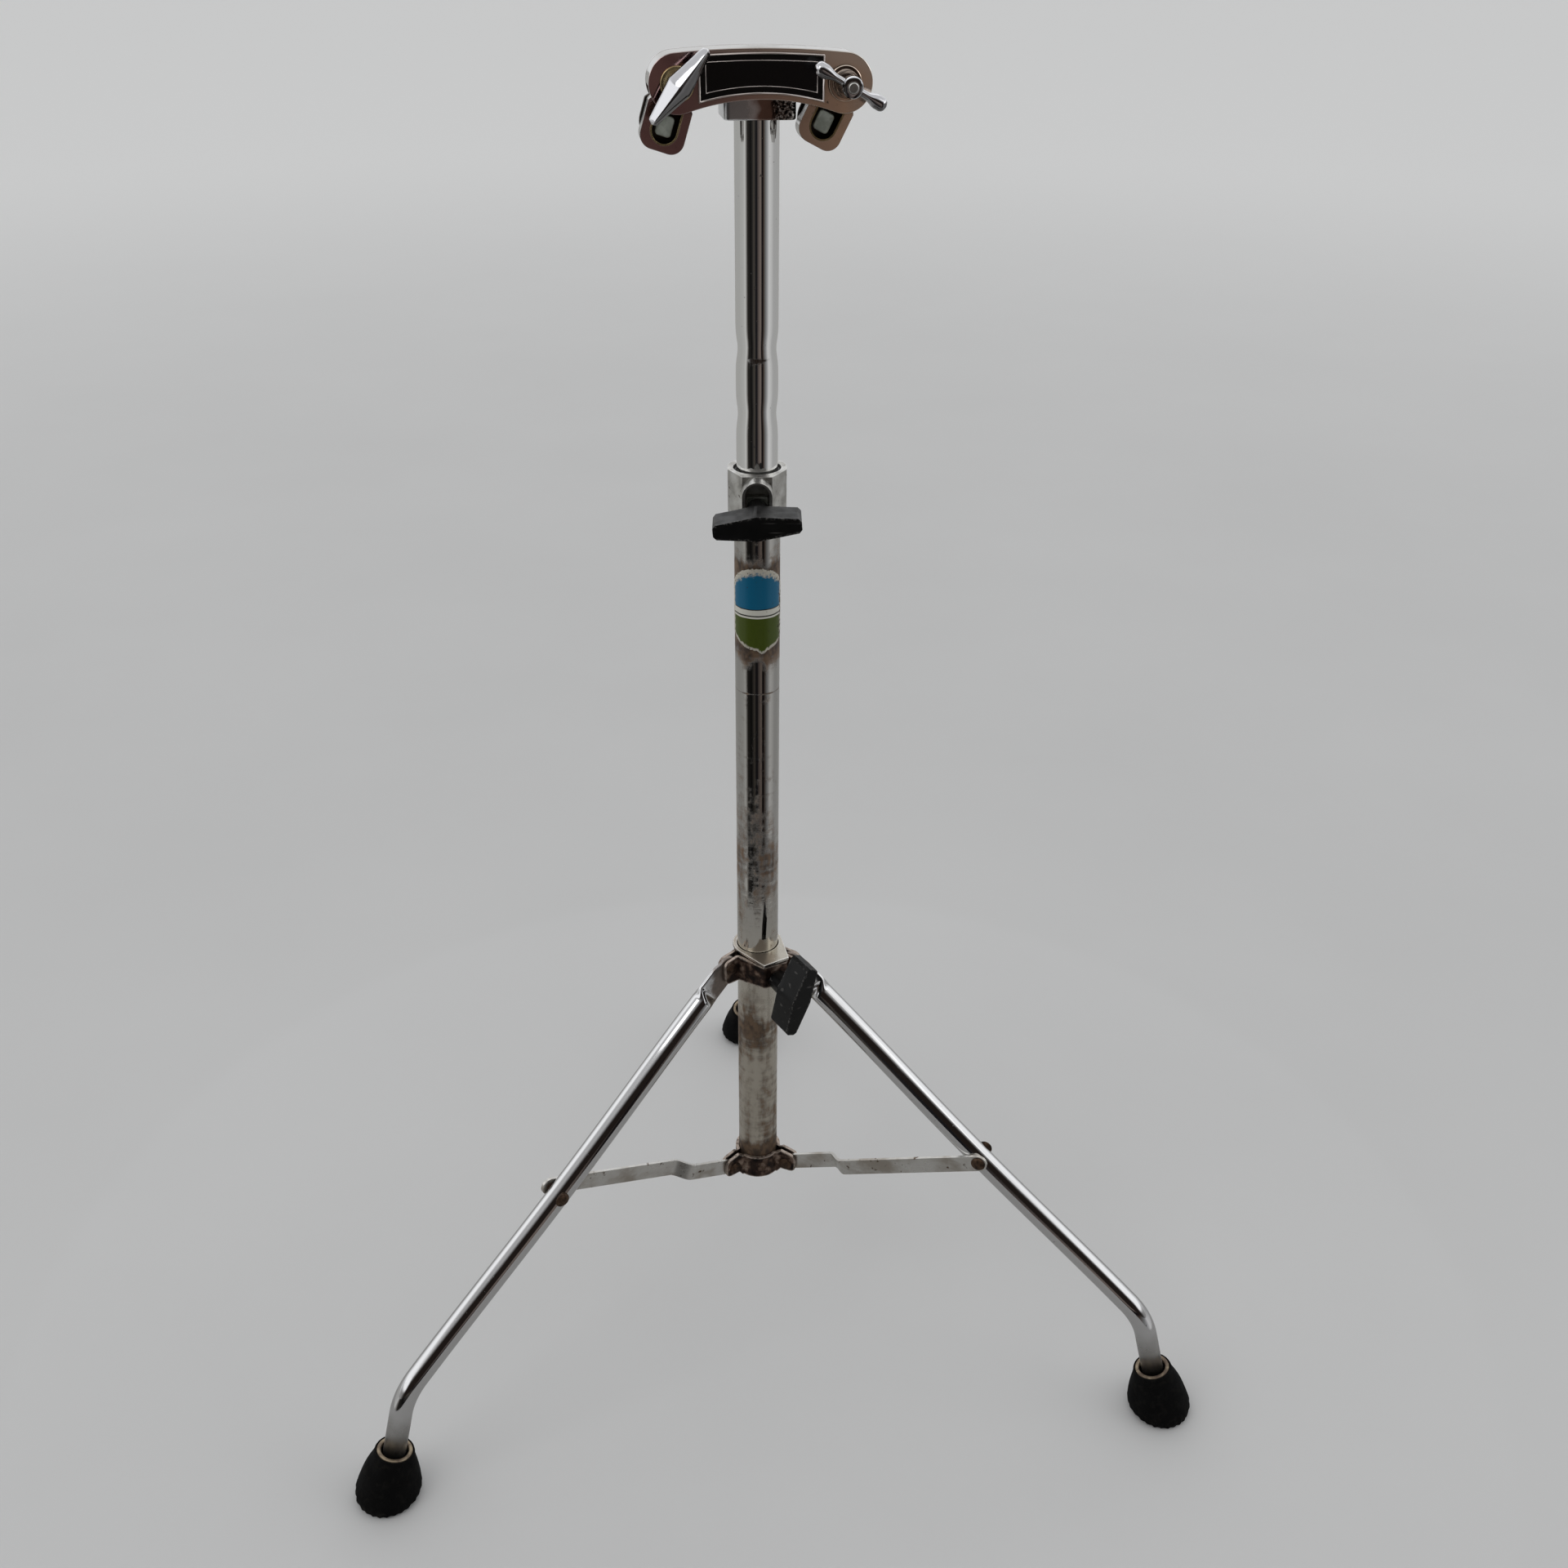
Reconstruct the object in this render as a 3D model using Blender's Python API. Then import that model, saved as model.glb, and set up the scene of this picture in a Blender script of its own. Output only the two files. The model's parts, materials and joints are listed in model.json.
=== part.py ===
"""Double-drum tripod stand: telescoping column, folding tripod and a two-arm tilter bracket.

World frame: metres, +Z up, the column runs up the Z axis and the bracket faces -Y.
The origin is the lowest point of the column, the flat face of its end plug.
Lengths below are millimetres. A "height" is measured from the floor that the feet stand on.
"""

import math

import bmesh
import bpy
from mathutils import Matrix, Vector

MM = 0.001
GAP = 0.3                    # air left between two pieces that touch
COLUMN_END = 113.4           # height of the column's lower end

# column
LOWER_TUBE_R = 12.7
LOWER_TUBE_BORE_R = 11.5
LOWER_TUBE_TOP = 583.0
UPPER_TUBE_R = 11.1
UPPER_TUBE_BORE_R = 9.9
UPPER_TUBE_TOP = 793.0
UPPER_TUBE_LENGTH = 450.0
ROUND_STEPS = 32
LABEL_HEIGHTS = (500.0, 547.5)
LABEL_HALF_ANGLE = 80.0

# tripod
LEG_AZIMUTHS = {"rear": 85.0, "left": 209.5, "right": 330.3}
PLATE_LEGS = {"front": ("left", "right"), "right": ("right", "rear"), "left": ("rear", "left")}
LEG_PIVOT = (23.0, 287.0)    # distance from the column axis, height
LEG_SLOPE = 48.87            # main tube, degrees from vertical
LEG_END_SLOPE = 15.0         # foot end, degrees from vertical
SOLE_REACH = 288.1           # distance from the column axis to a sole's centre
LEG_R = 7.0
LEG_WALL = 1.3
LEG_BEND_R = 45.0
LEG_STEPS = 16
LEG_END_CLEARANCE = 15.0     # leg's open end to the sole, along the foot
TONGUE_HALF = 1.5            # half thickness of the flattened end
TONGUE_LENGTH = 20.0         # pivot to the start of the crimp
CRIMP_LENGTH = 6.0
BRACE_REACH = 154.0          # rivet that joins brace and leg, from the column axis
BRACE_PIVOT = (21.5, 121.6)
BRACE_HALF_WIDTH = 5.6
BRACE_HALF = 1.0
JOGGLE = (34.8, 46.1)        # along the brace, from its hub pivot
BRACE_OFFSET = LEG_R + GAP + BRACE_HALF

# pressed plates that hug the lower tube; heights are (lower edge, upper edge)
PLATE_THICK = 2.0
PLATE_R = LOWER_TUBE_R + GAP
EAR_ROOT = PLATE_R + 5.0     # distance from the axis at which an ear begins
EAR_CORNER_R = 4.0
HUB_REACH = 28.5
HUB_WALL = (COLUMN_END + 0.1, 129.9)
HUB_EAR_ROOT = (116.5, 132.0)
HUB_EAR_END = (116.5, 129.0)
COLLAR_REACH = 28.0
CAP_TOP = 296.6
CAP_THICK = 2.0
CAP_R = 15.7
COLLAR_HIGH = CAP_TOP - CAP_THICK - GAP
COLLAR_WALL = (277.0, COLLAR_HIGH)
COLLAR_EAR_ROOT = (276.5, COLLAR_HIGH)
COLLAR_EAR_END = (276.5, COLLAR_HIGH - 1.8)

# nose that the front collar plate forms round its screw; sideways is measured along the tangent
NOSE_AZIMUTH = -66.0
NOSE_FRONT = 25.0
NOSE_SIDES = (-10.3, 7.6)
NOSE_LOW = 279.0
NOSE_BEND_R = 1.5
NOSE_EAR_ROOTS = (17.4, 14.5)
COLLAR_SCREW_HEIGHT = 284.0
COLLAR_SCREW_OFFSET = -1.5

# feet
FOOT_TOP_R = 12.1
FOOT_WIDE_R = 20.5
FOOT_SOLE_R = 19.6
FOOT_HEIGHT = 34.5
FOOT_BORE_DEPTH = 21.0
FERRULE = (8.4, 11.0, 3.0)   # inner radius, outer radius, height

# height clamp
CLAMP_AZIMUTH = -97.0
CLAMP_LOW = 570.5
CLAMP_HIGH = 604.5
CLAMP_HALF_WIDTH = 15.8
CLAMP_BOSS_FRONT = 27.0
CLAMP_BOSS_HALF = 8.0
CLAMP_BORE_R = 13.0
CLAMP_SCREW_HEIGHT = 589.3
POCKET_HALF = 6.5
POCKET_ARCH_HEIGHT = 597.0
BUSH_R = 12.6

# moulded T-knobs
KNOB_LENGTH = 46.0
KNOB_MIDDLE = 13.0
KNOB_END = 7.0
KNOB_DEPTH = 18.0
SCREW_R = 3.0
SCREW_HOLE_R = 3.25

# top bracket
PIVOT_X = 39.6
PIVOT_HEIGHT = 795.2
END_R = 13.4
BRACKET_TOP = 810.5          # middle of the upper edge
BRACKET_BOTTOM = 788.2       # middle of the lower edge
BRACKET_FRONT = -19.0
BRACKET_BACK = 1.0
BRACKET_WALL = 2.0
SOCKET_HALF = (17.5, 14.0)
SOCKET_HEIGHTS = (778.5, 797.0)
BOLT_R = 2.5
BOLT_HOLE_R = 2.75
BACK_PLATE = (BRACKET_BACK + GAP, BRACKET_BACK + GAP + 2.0)

# tilters that hang from the bracket
TILTS = {"left": -17.5, "right": -27.0}   # degrees from hanging straight, + swings to +X
SIDES = {"left": -1.0, "right": 1.0}
TILTER_FRONT = -16.6
TILTER_BACK = -5.0
TILTER_WALL = 2.3
REAR_TAB = (-4.6, -2.2)
NECK_HALF = 8.5
TAB_HALF = 10.8
TAB_LENGTH = 31.0
REAR_TAB_LENGTH = 27.0
TAB_CORNER_R = 6.5
WINDOW_HALF = 6.7
WINDOW_TOP = 11.5
WINDOW_BOTTOM = 28.0
BLOCK_CENTRE = 19.6          # below the pivot, along the tilter

LEG_DOWN = Vector((math.sin(math.radians(LEG_SLOPE)), -math.cos(math.radians(LEG_SLOPE))))
LEG_END_DOWN = Vector((math.sin(math.radians(LEG_END_SLOPE)), -math.cos(math.radians(LEG_END_SLOPE))))
BRACE_RIVET = (
    BRACE_REACH,
    LEG_PIVOT[1] + (BRACE_REACH - LEG_PIVOT[0]) * LEG_DOWN.y / LEG_DOWN.x,
)


# ---------------------------------------------------------------- frame helpers

def level(height):
    """World z, in millimetres, of a height above the floor."""
    return height - COLUMN_END


def radial(azimuth):
    angle = math.radians(azimuth)
    return Vector((math.cos(angle), math.sin(angle), 0.0))


def tangent(azimuth):
    return radial(azimuth + 90.0)


def in_leg_plane(azimuth, reach, height, offset=0.0):
    """World point, in millimetres, in the upright plane of a leg."""
    return radial(azimuth) * reach + tangent(azimuth) * offset + Vector((0, 0, level(height)))


def basis(origin, x_axis, y_axis, z_axis):
    """Matrix from a local frame, in millimetres, to the world in millimetres."""
    matrix = Matrix.Identity(4)
    for column, axis in enumerate((x_axis, y_axis, z_axis)):
        matrix.col[column].xyz = axis
    matrix.col[3].xyz = origin
    return matrix


def axial_frame(origin, direction, up=Vector((0, 0, 1))):
    """Local frame with +Z along direction and +Y as near to up as it can be."""
    z_axis = direction.normalized()
    x_axis = up.cross(z_axis).normalized()
    return basis(origin, x_axis, z_axis.cross(x_axis), z_axis)


# ---------------------------------------------------------------- materials

def make_material(name, colour, roughness, metallic):
    material = bpy.data.materials.new(name)
    material.use_nodes = True
    shader = material.node_tree.nodes["Principled BSDF"]
    shader.inputs["Base Color"].default_value = (*colour, 1.0)
    shader.inputs["Roughness"].default_value = roughness
    shader.inputs["Metallic"].default_value = metallic
    return material


def make_materials():
    return {
        "chrome": make_material("chrome", (0.74, 0.74, 0.73), 0.12, 1.0),
        "worn_chrome": make_material("worn_chrome", (0.55, 0.53, 0.49), 0.32, 1.0),
        "rusty_steel": make_material("rusty_steel", (0.24, 0.17, 0.12), 0.62, 0.7),
        "zinc": make_material("zinc", (0.42, 0.44, 0.40), 0.5, 0.9),
        "brass": make_material("brass", (0.72, 0.60, 0.34), 0.3, 1.0),
        "black_plastic": make_material("black_plastic", (0.02, 0.02, 0.02), 0.42, 0.0),
        "rubber": make_material("rubber", (0.015, 0.015, 0.015), 0.8, 0.0),
        "label": make_material("label", (0.10, 0.38, 0.55), 0.5, 0.0),
    }


# ---------------------------------------------------------------- objects

BODIES = {}
MATERIALS = {}


def clear_scene():
    for thing in list(bpy.data.objects):
        bpy.data.objects.remove(thing, do_unlink=True)


def make_body(name, position):
    """Empty on a moving body's joint axis; the body's pieces hang from it."""
    empty = bpy.data.objects.new(name + "_axis", None)
    empty.location = position * MM
    bpy.context.scene.collection.objects.link(empty)
    BODIES[name] = empty


def add_object(name, mesh_data, material, body):
    """Turn a bmesh in world millimetres into an object that hangs from its body."""
    parent = BODIES[body]
    mesh_data.transform(Matrix.Translation(-parent.location) @ Matrix.Scale(MM, 4))
    bmesh.ops.recalc_face_normals(mesh_data, faces=mesh_data.faces)
    mesh = bpy.data.meshes.new(name)
    mesh_data.to_mesh(mesh)
    mesh_data.free()
    mesh.shade_smooth()
    mesh.set_sharp_from_angle(angle=math.radians(32))
    thing = bpy.data.objects.new(name, mesh)
    thing.data.materials.append(MATERIALS[material])
    thing.parent = parent
    bpy.context.scene.collection.objects.link(thing)
    return thing


def add_cutter(name, mesh_data):
    """Hidden shape that Boolean modifiers subtract or join."""
    bmesh.ops.recalc_face_normals(mesh_data, faces=mesh_data.faces)
    mesh_data.transform(Matrix.Scale(MM, 4))
    mesh = bpy.data.meshes.new(name)
    mesh_data.to_mesh(mesh)
    mesh_data.free()
    cutter = bpy.data.objects.new(name, mesh)
    cutter.hide_render = True
    cutter.display_type = 'WIRE'
    bpy.context.scene.collection.objects.link(cutter)
    return cutter


def combine(thing, other, operation='DIFFERENCE'):
    modifier = thing.modifiers.new(operation.lower() + "_" + other.name, 'BOOLEAN')
    modifier.operation = operation
    modifier.object = other


# ---------------------------------------------------------------- solid builders

def skin(rings, closed=False):
    """Solid through a row of equal rings, capped at both ends or joined back to the first."""
    mesh = bmesh.new()
    rows = [[mesh.verts.new(point) for point in ring] for ring in rings]
    spans = list(zip(rows, rows[1:]))
    if closed:
        spans.append((rows[-1], rows[0]))
    else:
        mesh.faces.new(rows[0])
        mesh.faces.new(rows[-1])
    count = len(rows[0])
    for low, high in spans:
        for i in range(count):
            j = (i + 1) % count
            mesh.faces.new((low[i], low[j], high[j], high[i]))
    return mesh


def circle(radius, steps, z=0.0):
    turns = [2 * math.pi * i / steps for i in range(steps)]
    return [Vector((radius * math.cos(a), radius * math.sin(a), z)) for a in turns]


def turned(profile, steps, frame, hollow=False):
    """Solid of revolution; profile lists (radius, z) and runs round a wall if hollow."""
    rings = [[frame @ point for point in circle(radius, steps, z)] for radius, z in profile]
    return skin(rings, closed=hollow)


def prism(outline, low, high, frame):
    """Extrude a local outline of (x, y) points from local z low to high."""
    rings = [[frame @ Vector((x, y, z)) for x, y in outline] for z in (low, high)]
    return skin(rings)


def arc(centre, radius, start, end, steps):
    """Points on an arc, angles in degrees, both ends included."""
    points = []
    for i in range(steps + 1):
        angle = math.radians(start + (end - start) * i / steps)
        points.append((centre[0] + radius * math.cos(angle), centre[1] + radius * math.sin(angle)))
    return points


def strip(stations, half_thick):
    """Bent flat strip; a station is (middle point, side direction, low point, high point)."""
    rings = []
    for middle, side, low, high in stations:
        shift = side * half_thick
        rings.append([middle + low + shift, middle + high + shift, middle + high - shift, middle + low - shift])
    return skin(rings)


# ---------------------------------------------------------------- column

def upright_frame():
    return Matrix.Translation((0, 0, -COLUMN_END))


def build_tubes():
    low = COLUMN_END + 3.0
    lower = [(LOWER_TUBE_BORE_R, low), (LOWER_TUBE_R, low),
             (LOWER_TUBE_R, LOWER_TUBE_TOP), (LOWER_TUBE_BORE_R, LOWER_TUBE_TOP)]
    add_object("lower_tube", turned(lower, ROUND_STEPS, upright_frame(), True), "worn_chrome", "column")
    bottom = UPPER_TUBE_TOP - UPPER_TUBE_LENGTH
    upper = [(UPPER_TUBE_BORE_R, bottom), (UPPER_TUBE_R, bottom),
             (UPPER_TUBE_R, UPPER_TUBE_TOP), (UPPER_TUBE_BORE_R, UPPER_TUBE_TOP)]
    add_object("upper_tube", turned(upper, ROUND_STEPS, upright_frame(), True), "chrome", "upper_column")


def build_end_plug():
    spigot_r = LOWER_TUBE_BORE_R - GAP
    flange_top = COLUMN_END + 3.0 - GAP
    profile = [(LOWER_TUBE_R - 1.0, COLUMN_END), (LOWER_TUBE_R, COLUMN_END + 1.0),
               (LOWER_TUBE_R, flange_top), (spigot_r, flange_top),
               (spigot_r, flange_top + 9.0), (spigot_r - 1.2, flange_top + 10.5)]
    add_object("tube_end_plug", turned(profile, 24, upright_frame()), "black_plastic", "column")


def build_label():
    """Thin curved label on the front of the lower tube."""
    inner = LOWER_TUBE_R + GAP
    start, end = CLAMP_AZIMUTH - LABEL_HALF_ANGLE, CLAMP_AZIMUTH + LABEL_HALF_ANGLE
    outline = arc((0, 0), inner, start, end, 16) + arc((0, 0), inner + 0.4, end, start, 16)
    add_object("tube_label", prism(outline, *LABEL_HEIGHTS, upright_frame()), "label", "column")


# ---------------------------------------------------------------- pressed plates

def rounded_path(corners, radius, steps):
    """Middle points and side directions along a plan outline whose inner corners are rounded."""
    path = []
    for i, corner in enumerate(corners):
        before = (corner - corners[i - 1]).normalized() if i else None
        after = (corners[i + 1] - corner).normalized() if i + 1 < len(corners) else None
        if before is None or after is None:
            heading = after or before
            path.append((corner, Vector((heading.y, -heading.x, 0.0))))
            continue
        turn = math.atan2(before.x * after.y - before.y * after.x, before.dot(after))
        start = corner - before * radius * math.tan(abs(turn) / 2)
        inward = Vector((-before.y, before.x, 0.0)) * math.copysign(1.0, turn)
        centre = start + inward * radius
        for step in range(steps + 1):
            bend = Matrix.Rotation(turn * step / steps, 3, 'Z')
            heading = bend @ before
            path.append((centre - bend @ inward * radius, Vector((heading.y, -heading.x, 0.0))))
    return path


def ear_point(leg, toward, distance, ear_offset):
    """Plan point in an ear beside a leg; toward is +1 or -1, the ear's side of the leg."""
    return radial(leg) * distance + tangent(leg) * toward * ear_offset


def plate_azimuths(side):
    """Azimuths of the two legs that a plate joins, the second one larger."""
    first, second = (LEG_AZIMUTHS[leg] for leg in PLATE_LEGS[side])
    return first, second + (360.0 if second < first else 0.0)


def hugging_path(legs, ear_offset, reach):
    """Plan path of a plate from ear end to ear end, hugging the tube between two legs."""
    middle_r = PLATE_R + PLATE_THICK / 2
    lift = math.degrees(math.asin(ear_offset / (middle_r + 1.6))) + 7.0
    start, end = legs[0] + lift, legs[1] - lift
    steps = 10
    path = []
    for i in range(steps + 1):
        out = radial(start + (end - start) * i / steps)
        path.append((out * middle_r, out))
    for leg, toward in ((legs[0], 1), (legs[1], -1)):
        ear = []
        for distance in ear_distances(EAR_ROOT, reach):
            ear.append((ear_point(leg, toward, distance, ear_offset), tangent(leg) * toward))
        path = ear[::-1] + path if toward > 0 else path + ear
    return path


def ear_distances(root, reach):
    """Distances of an ear's stations, closer together round its end corners."""
    straight = reach - EAR_CORNER_R
    turns = [math.radians(a) for a in (0, 35, 65, 90)]
    return [root] + [straight + EAR_CORNER_R * math.sin(a) for a in turns]


def nose_path(legs, ear_offset):
    """Plan path of the front collar plate: ear, nose round the screw, ear."""
    out, aside = radial(NOSE_AZIMUTH), tangent(NOSE_AZIMUTH)
    inset = PLATE_THICK / 2
    front = NOSE_FRONT - inset
    ears = []
    for leg, toward, root in ((legs[0], 1, NOSE_EAR_ROOTS[0]), (legs[1], -1, NOSE_EAR_ROOTS[1])):
        ears.append([ear_point(leg, toward, d, ear_offset) for d in (root, COLLAR_REACH)])
    corners = [ears[0][1], ears[0][0]]
    corners += [out * front + aside * (NOSE_SIDES[0] + inset), out * front + aside * (NOSE_SIDES[1] - inset)]
    corners += ears[1]
    path = rounded_path(corners, NOSE_BEND_R, 4)
    ear_starts, ear_ends = [], []
    for distance in ear_distances(EAR_ROOT + 1.5, COLLAR_REACH)[1:-1]:
        ear_starts.append((ear_point(legs[0], 1, distance, ear_offset), path[0][1]))
        ear_ends.append((ear_point(legs[1], -1, distance, ear_offset), path[-1][1]))
    return [path[0]] + ear_starts[::-1] + path[1:-1] + ear_ends + [path[-1]]


def plate_limits(distance, reach, wall, ear_root, ear_end):
    """Lower and upper height of a plate at a distance from the axis; ear corners are round."""
    if distance < EAR_ROOT - 0.5:
        return wall
    share = min(1.0, max(0.0, (distance - EAR_ROOT) / (reach - EAR_ROOT)))
    bottom = ear_root[0] + (ear_end[0] - ear_root[0]) * share
    top = ear_root[1] + (ear_end[1] - ear_root[1]) * share
    beyond = min(1.0, max(0.0, (distance - reach + EAR_CORNER_R) / EAR_CORNER_R))
    cut = EAR_CORNER_R * (1.0 - math.sqrt(1.0 - beyond * beyond))
    return bottom + cut, top - cut


def build_plate(name, path, legs, reach, heights, material, body):
    """Strip along a plan path; heights are those of the wall, the ear's root and its end."""
    stations = []
    for point, side in path:
        distance = max(point.dot(radial(leg)) for leg in legs)
        bottom, top = plate_limits(distance, reach, *heights)
        stations.append((point, side, Vector((0, 0, level(bottom))), Vector((0, 0, level(top)))))
    return add_object(name, strip(stations, PLATE_THICK / 2), material, body)


def pivot_cutter(name, azimuth, reach, height, radius, half_length, offset=0.0):
    frame = axial_frame(in_leg_plane(azimuth, reach, height, offset), tangent(azimuth))
    return add_cutter(name, turned([(radius, -half_length), (radius, half_length)], 16, frame))


def build_pivot_rivet(name, azimuth, pivot, shank_r, head_r, half_grip, body):
    """Rivet with a domed head outside each ear."""
    head = half_grip + 1.4
    profile = [(head_r * 0.6, -head), (head_r, -half_grip), (shank_r, -half_grip),
               (shank_r, half_grip), (head_r, half_grip), (head_r * 0.6, head)]
    frame = axial_frame(in_leg_plane(azimuth, *pivot), tangent(azimuth))
    add_object(name, turned(profile, 14, frame), "rusty_steel", body)


def build_hub():
    ear_offset = BRACE_HALF + GAP + PLATE_THICK / 2
    heights = (HUB_WALL, HUB_EAR_ROOT, HUB_EAR_END)
    plates = []
    for side in PLATE_LEGS:
        legs = plate_azimuths(side)
        path = hugging_path(legs, ear_offset, HUB_REACH)
        plates.append(build_plate("hub_plate_" + side, path, legs, HUB_REACH, heights, "rusty_steel", "column"))
    half_grip = ear_offset + PLATE_THICK / 2 + GAP
    for leg, azimuth in LEG_AZIMUTHS.items():
        hole = pivot_cutter("hub_hole_" + leg, azimuth, *BRACE_PIVOT, 2.65, 12.0)
        for plate in plates:
            combine(plate, hole)
        combine(bpy.data.objects["brace_" + leg], hole)
        build_pivot_rivet("hub_rivet_" + leg, azimuth, BRACE_PIVOT, 2.5, 4.4, half_grip, "column")


def build_collar():
    ear_offset = TONGUE_HALF + GAP + PLATE_THICK / 2
    heights = (COLLAR_WALL, COLLAR_EAR_ROOT, COLLAR_EAR_END)
    nose_heights = ((NOSE_LOW, COLLAR_HIGH), COLLAR_EAR_ROOT, COLLAR_EAR_END)
    plates = {}
    for side in PLATE_LEGS:
        legs = plate_azimuths(side)
        front = side == "front"
        path = nose_path(legs, ear_offset) if front else hugging_path(legs, ear_offset, COLLAR_REACH)
        plates[side] = build_plate("collar_plate_" + side, path, legs, COLLAR_REACH,
                                   nose_heights if front else heights, "rusty_steel", "collar")
    half_grip = ear_offset + PLATE_THICK / 2 + GAP
    for leg, azimuth in LEG_AZIMUTHS.items():
        hole = pivot_cutter("collar_hole_" + leg, azimuth, *LEG_PIVOT, 2.9, 12.0)
        for plate in plates.values():
            combine(plate, hole)
        combine(bpy.data.objects["leg_" + leg], hole)
        build_pivot_rivet("leg_rivet_" + leg, azimuth, LEG_PIVOT, 2.75, 3.9, half_grip, "collar")
    hole = turned([(SCREW_HOLE_R, 16.0), (SCREW_HOLE_R, 30.0)], 16, collar_screw_frame())
    combine(plates["front"], add_cutter("collar_screw_hole", hole))
    build_collar_cap()
    build_nut("collar_nut", collar_screw_frame(), (17.6, 22.6), 4.5, "collar")


def build_collar_cap():
    """Flat top plate: a ring round the tube, drawn out to the nose's two front corners."""
    left, right = ((NOSE_FRONT, side) for side in NOSE_SIDES)
    touches = []
    for corner, turn in ((right, 1), (left, -1)):
        reach = math.hypot(*corner)
        towards = math.degrees(math.atan2(corner[1], corner[0]))
        touches.append(towards + turn * math.degrees(math.acos(CAP_R / reach)))
    outline = [left, right] + arc((0, 0), CAP_R, touches[0], touches[1] + 360.0, 24)
    frame = basis(Vector((0, 0, -COLUMN_END)), radial(NOSE_AZIMUTH), tangent(NOSE_AZIMUTH), Vector((0, 0, 1)))
    cap = add_object("collar_cap", prism(outline, CAP_TOP - CAP_THICK, CAP_TOP, frame), "chrome", "collar")
    bore = [(LOWER_TUBE_R + GAP, CAP_TOP - 5.0), (LOWER_TUBE_R + GAP, CAP_TOP + 5.0)]
    combine(cap, add_cutter("collar_bore", turned(bore, ROUND_STEPS, upright_frame())))


def build_nut(name, frame, span, half_width, body):
    """Square nut whose hole clears its screw."""
    square = [(-half_width, -half_width), (half_width, -half_width),
              (half_width, half_width), (-half_width, half_width)]
    nut = add_object(name, prism(square, span[0], span[1], frame), "zinc", body)
    hole = turned([(SCREW_HOLE_R, span[0] - 1), (SCREW_HOLE_R, span[1] + 1)], 16, frame)
    combine(nut, add_cutter(name + "_hole", hole))


# ---------------------------------------------------------------- legs, braces and feet

def leg_corner():
    """Where the main line of a leg meets the line of its foot end, as (reach, height)."""
    run = SOLE_REACH - LEG_PIVOT[0]
    slope = LEG_END_DOWN.x / -LEG_END_DOWN.y
    length = (run - LEG_PIVOT[1] * slope) / (LEG_DOWN.x + LEG_DOWN.y * slope)
    return Vector(LEG_PIVOT) + LEG_DOWN * length


def leg_path(start, foot_clearance):
    """Centre line of a leg as (point, direction) pairs in (reach, height)."""
    corner = leg_corner()
    turn = math.radians(LEG_SLOPE - LEG_END_SLOPE)
    cut = LEG_BEND_R * math.tan(turn / 2)
    path = [(Vector(LEG_PIVOT) + LEG_DOWN * s, LEG_DOWN) for s in start]
    bend_start = corner - LEG_DOWN * cut
    normal = Vector((LEG_DOWN.y, -LEG_DOWN.x))
    centre = bend_start + normal * LEG_BEND_R
    steps = 5
    for i in range(steps + 1):
        angle = -turn * i / steps
        turned_normal = Vector((normal.x * math.cos(angle) - normal.y * math.sin(angle),
                                normal.x * math.sin(angle) + normal.y * math.cos(angle)))
        path.append((centre - turned_normal * LEG_BEND_R,
                     Vector((-turned_normal.y, turned_normal.x))))
    end = Vector((SOLE_REACH, 0.0)) - LEG_END_DOWN * foot_clearance
    path.append((end, LEG_END_DOWN))
    return path


def leg_ring(azimuth, point, direction, half_thick, half_width):
    """Rounded cross-section, half_thick across the leg plane and half_width within it."""
    across = Vector((-direction.y, direction.x))
    power = 1.0 if half_thick > 6.0 else 0.6
    ring = []
    for i in range(LEG_STEPS):
        angle = 2 * math.pi * (i + 0.5) / LEG_STEPS
        side = math.copysign(abs(math.cos(angle)) ** power, math.cos(angle)) * half_thick
        lift = math.copysign(abs(math.sin(angle)) ** power, math.sin(angle)) * half_width
        flat = point + across * lift
        ring.append(in_leg_plane(azimuth, flat.x, flat.y, side))
    return ring


def build_leg(leg, azimuth):
    """Tube with a flattened upper end, a bend near the foot and an open lower end."""
    starts = [-6.6, -4.8, -1.5, 6.0, TONGUE_LENGTH, TONGUE_LENGTH + CRIMP_LENGTH / 2, TONGUE_LENGTH + CRIMP_LENGTH]
    shapes = [(TONGUE_HALF, 3.0), (TONGUE_HALF, 5.4), (TONGUE_HALF, 7.2), (TONGUE_HALF, 9.0),
              (TONGUE_HALF, 9.0), (4.6, 8.2), (LEG_R, LEG_R)]
    path = leg_path(starts, LEG_END_CLEARANCE)
    rings = []
    for i, (point, direction) in enumerate(path):
        half_thick, half_width = shapes[i] if i < len(shapes) else (LEG_R, LEG_R)
        rings.append(leg_ring(azimuth, point, direction, half_thick, half_width))
    bore_r = LEG_R - LEG_WALL
    inner = [leg_ring(azimuth, point, direction, bore_r, bore_r)
             for point, direction in reversed(leg_path([TONGUE_LENGTH + CRIMP_LENGTH + 2.0],
                                                       LEG_END_CLEARANCE))]
    add_object("leg_" + leg, skin(rings + inner), "chrome", "leg_" + leg)


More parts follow.
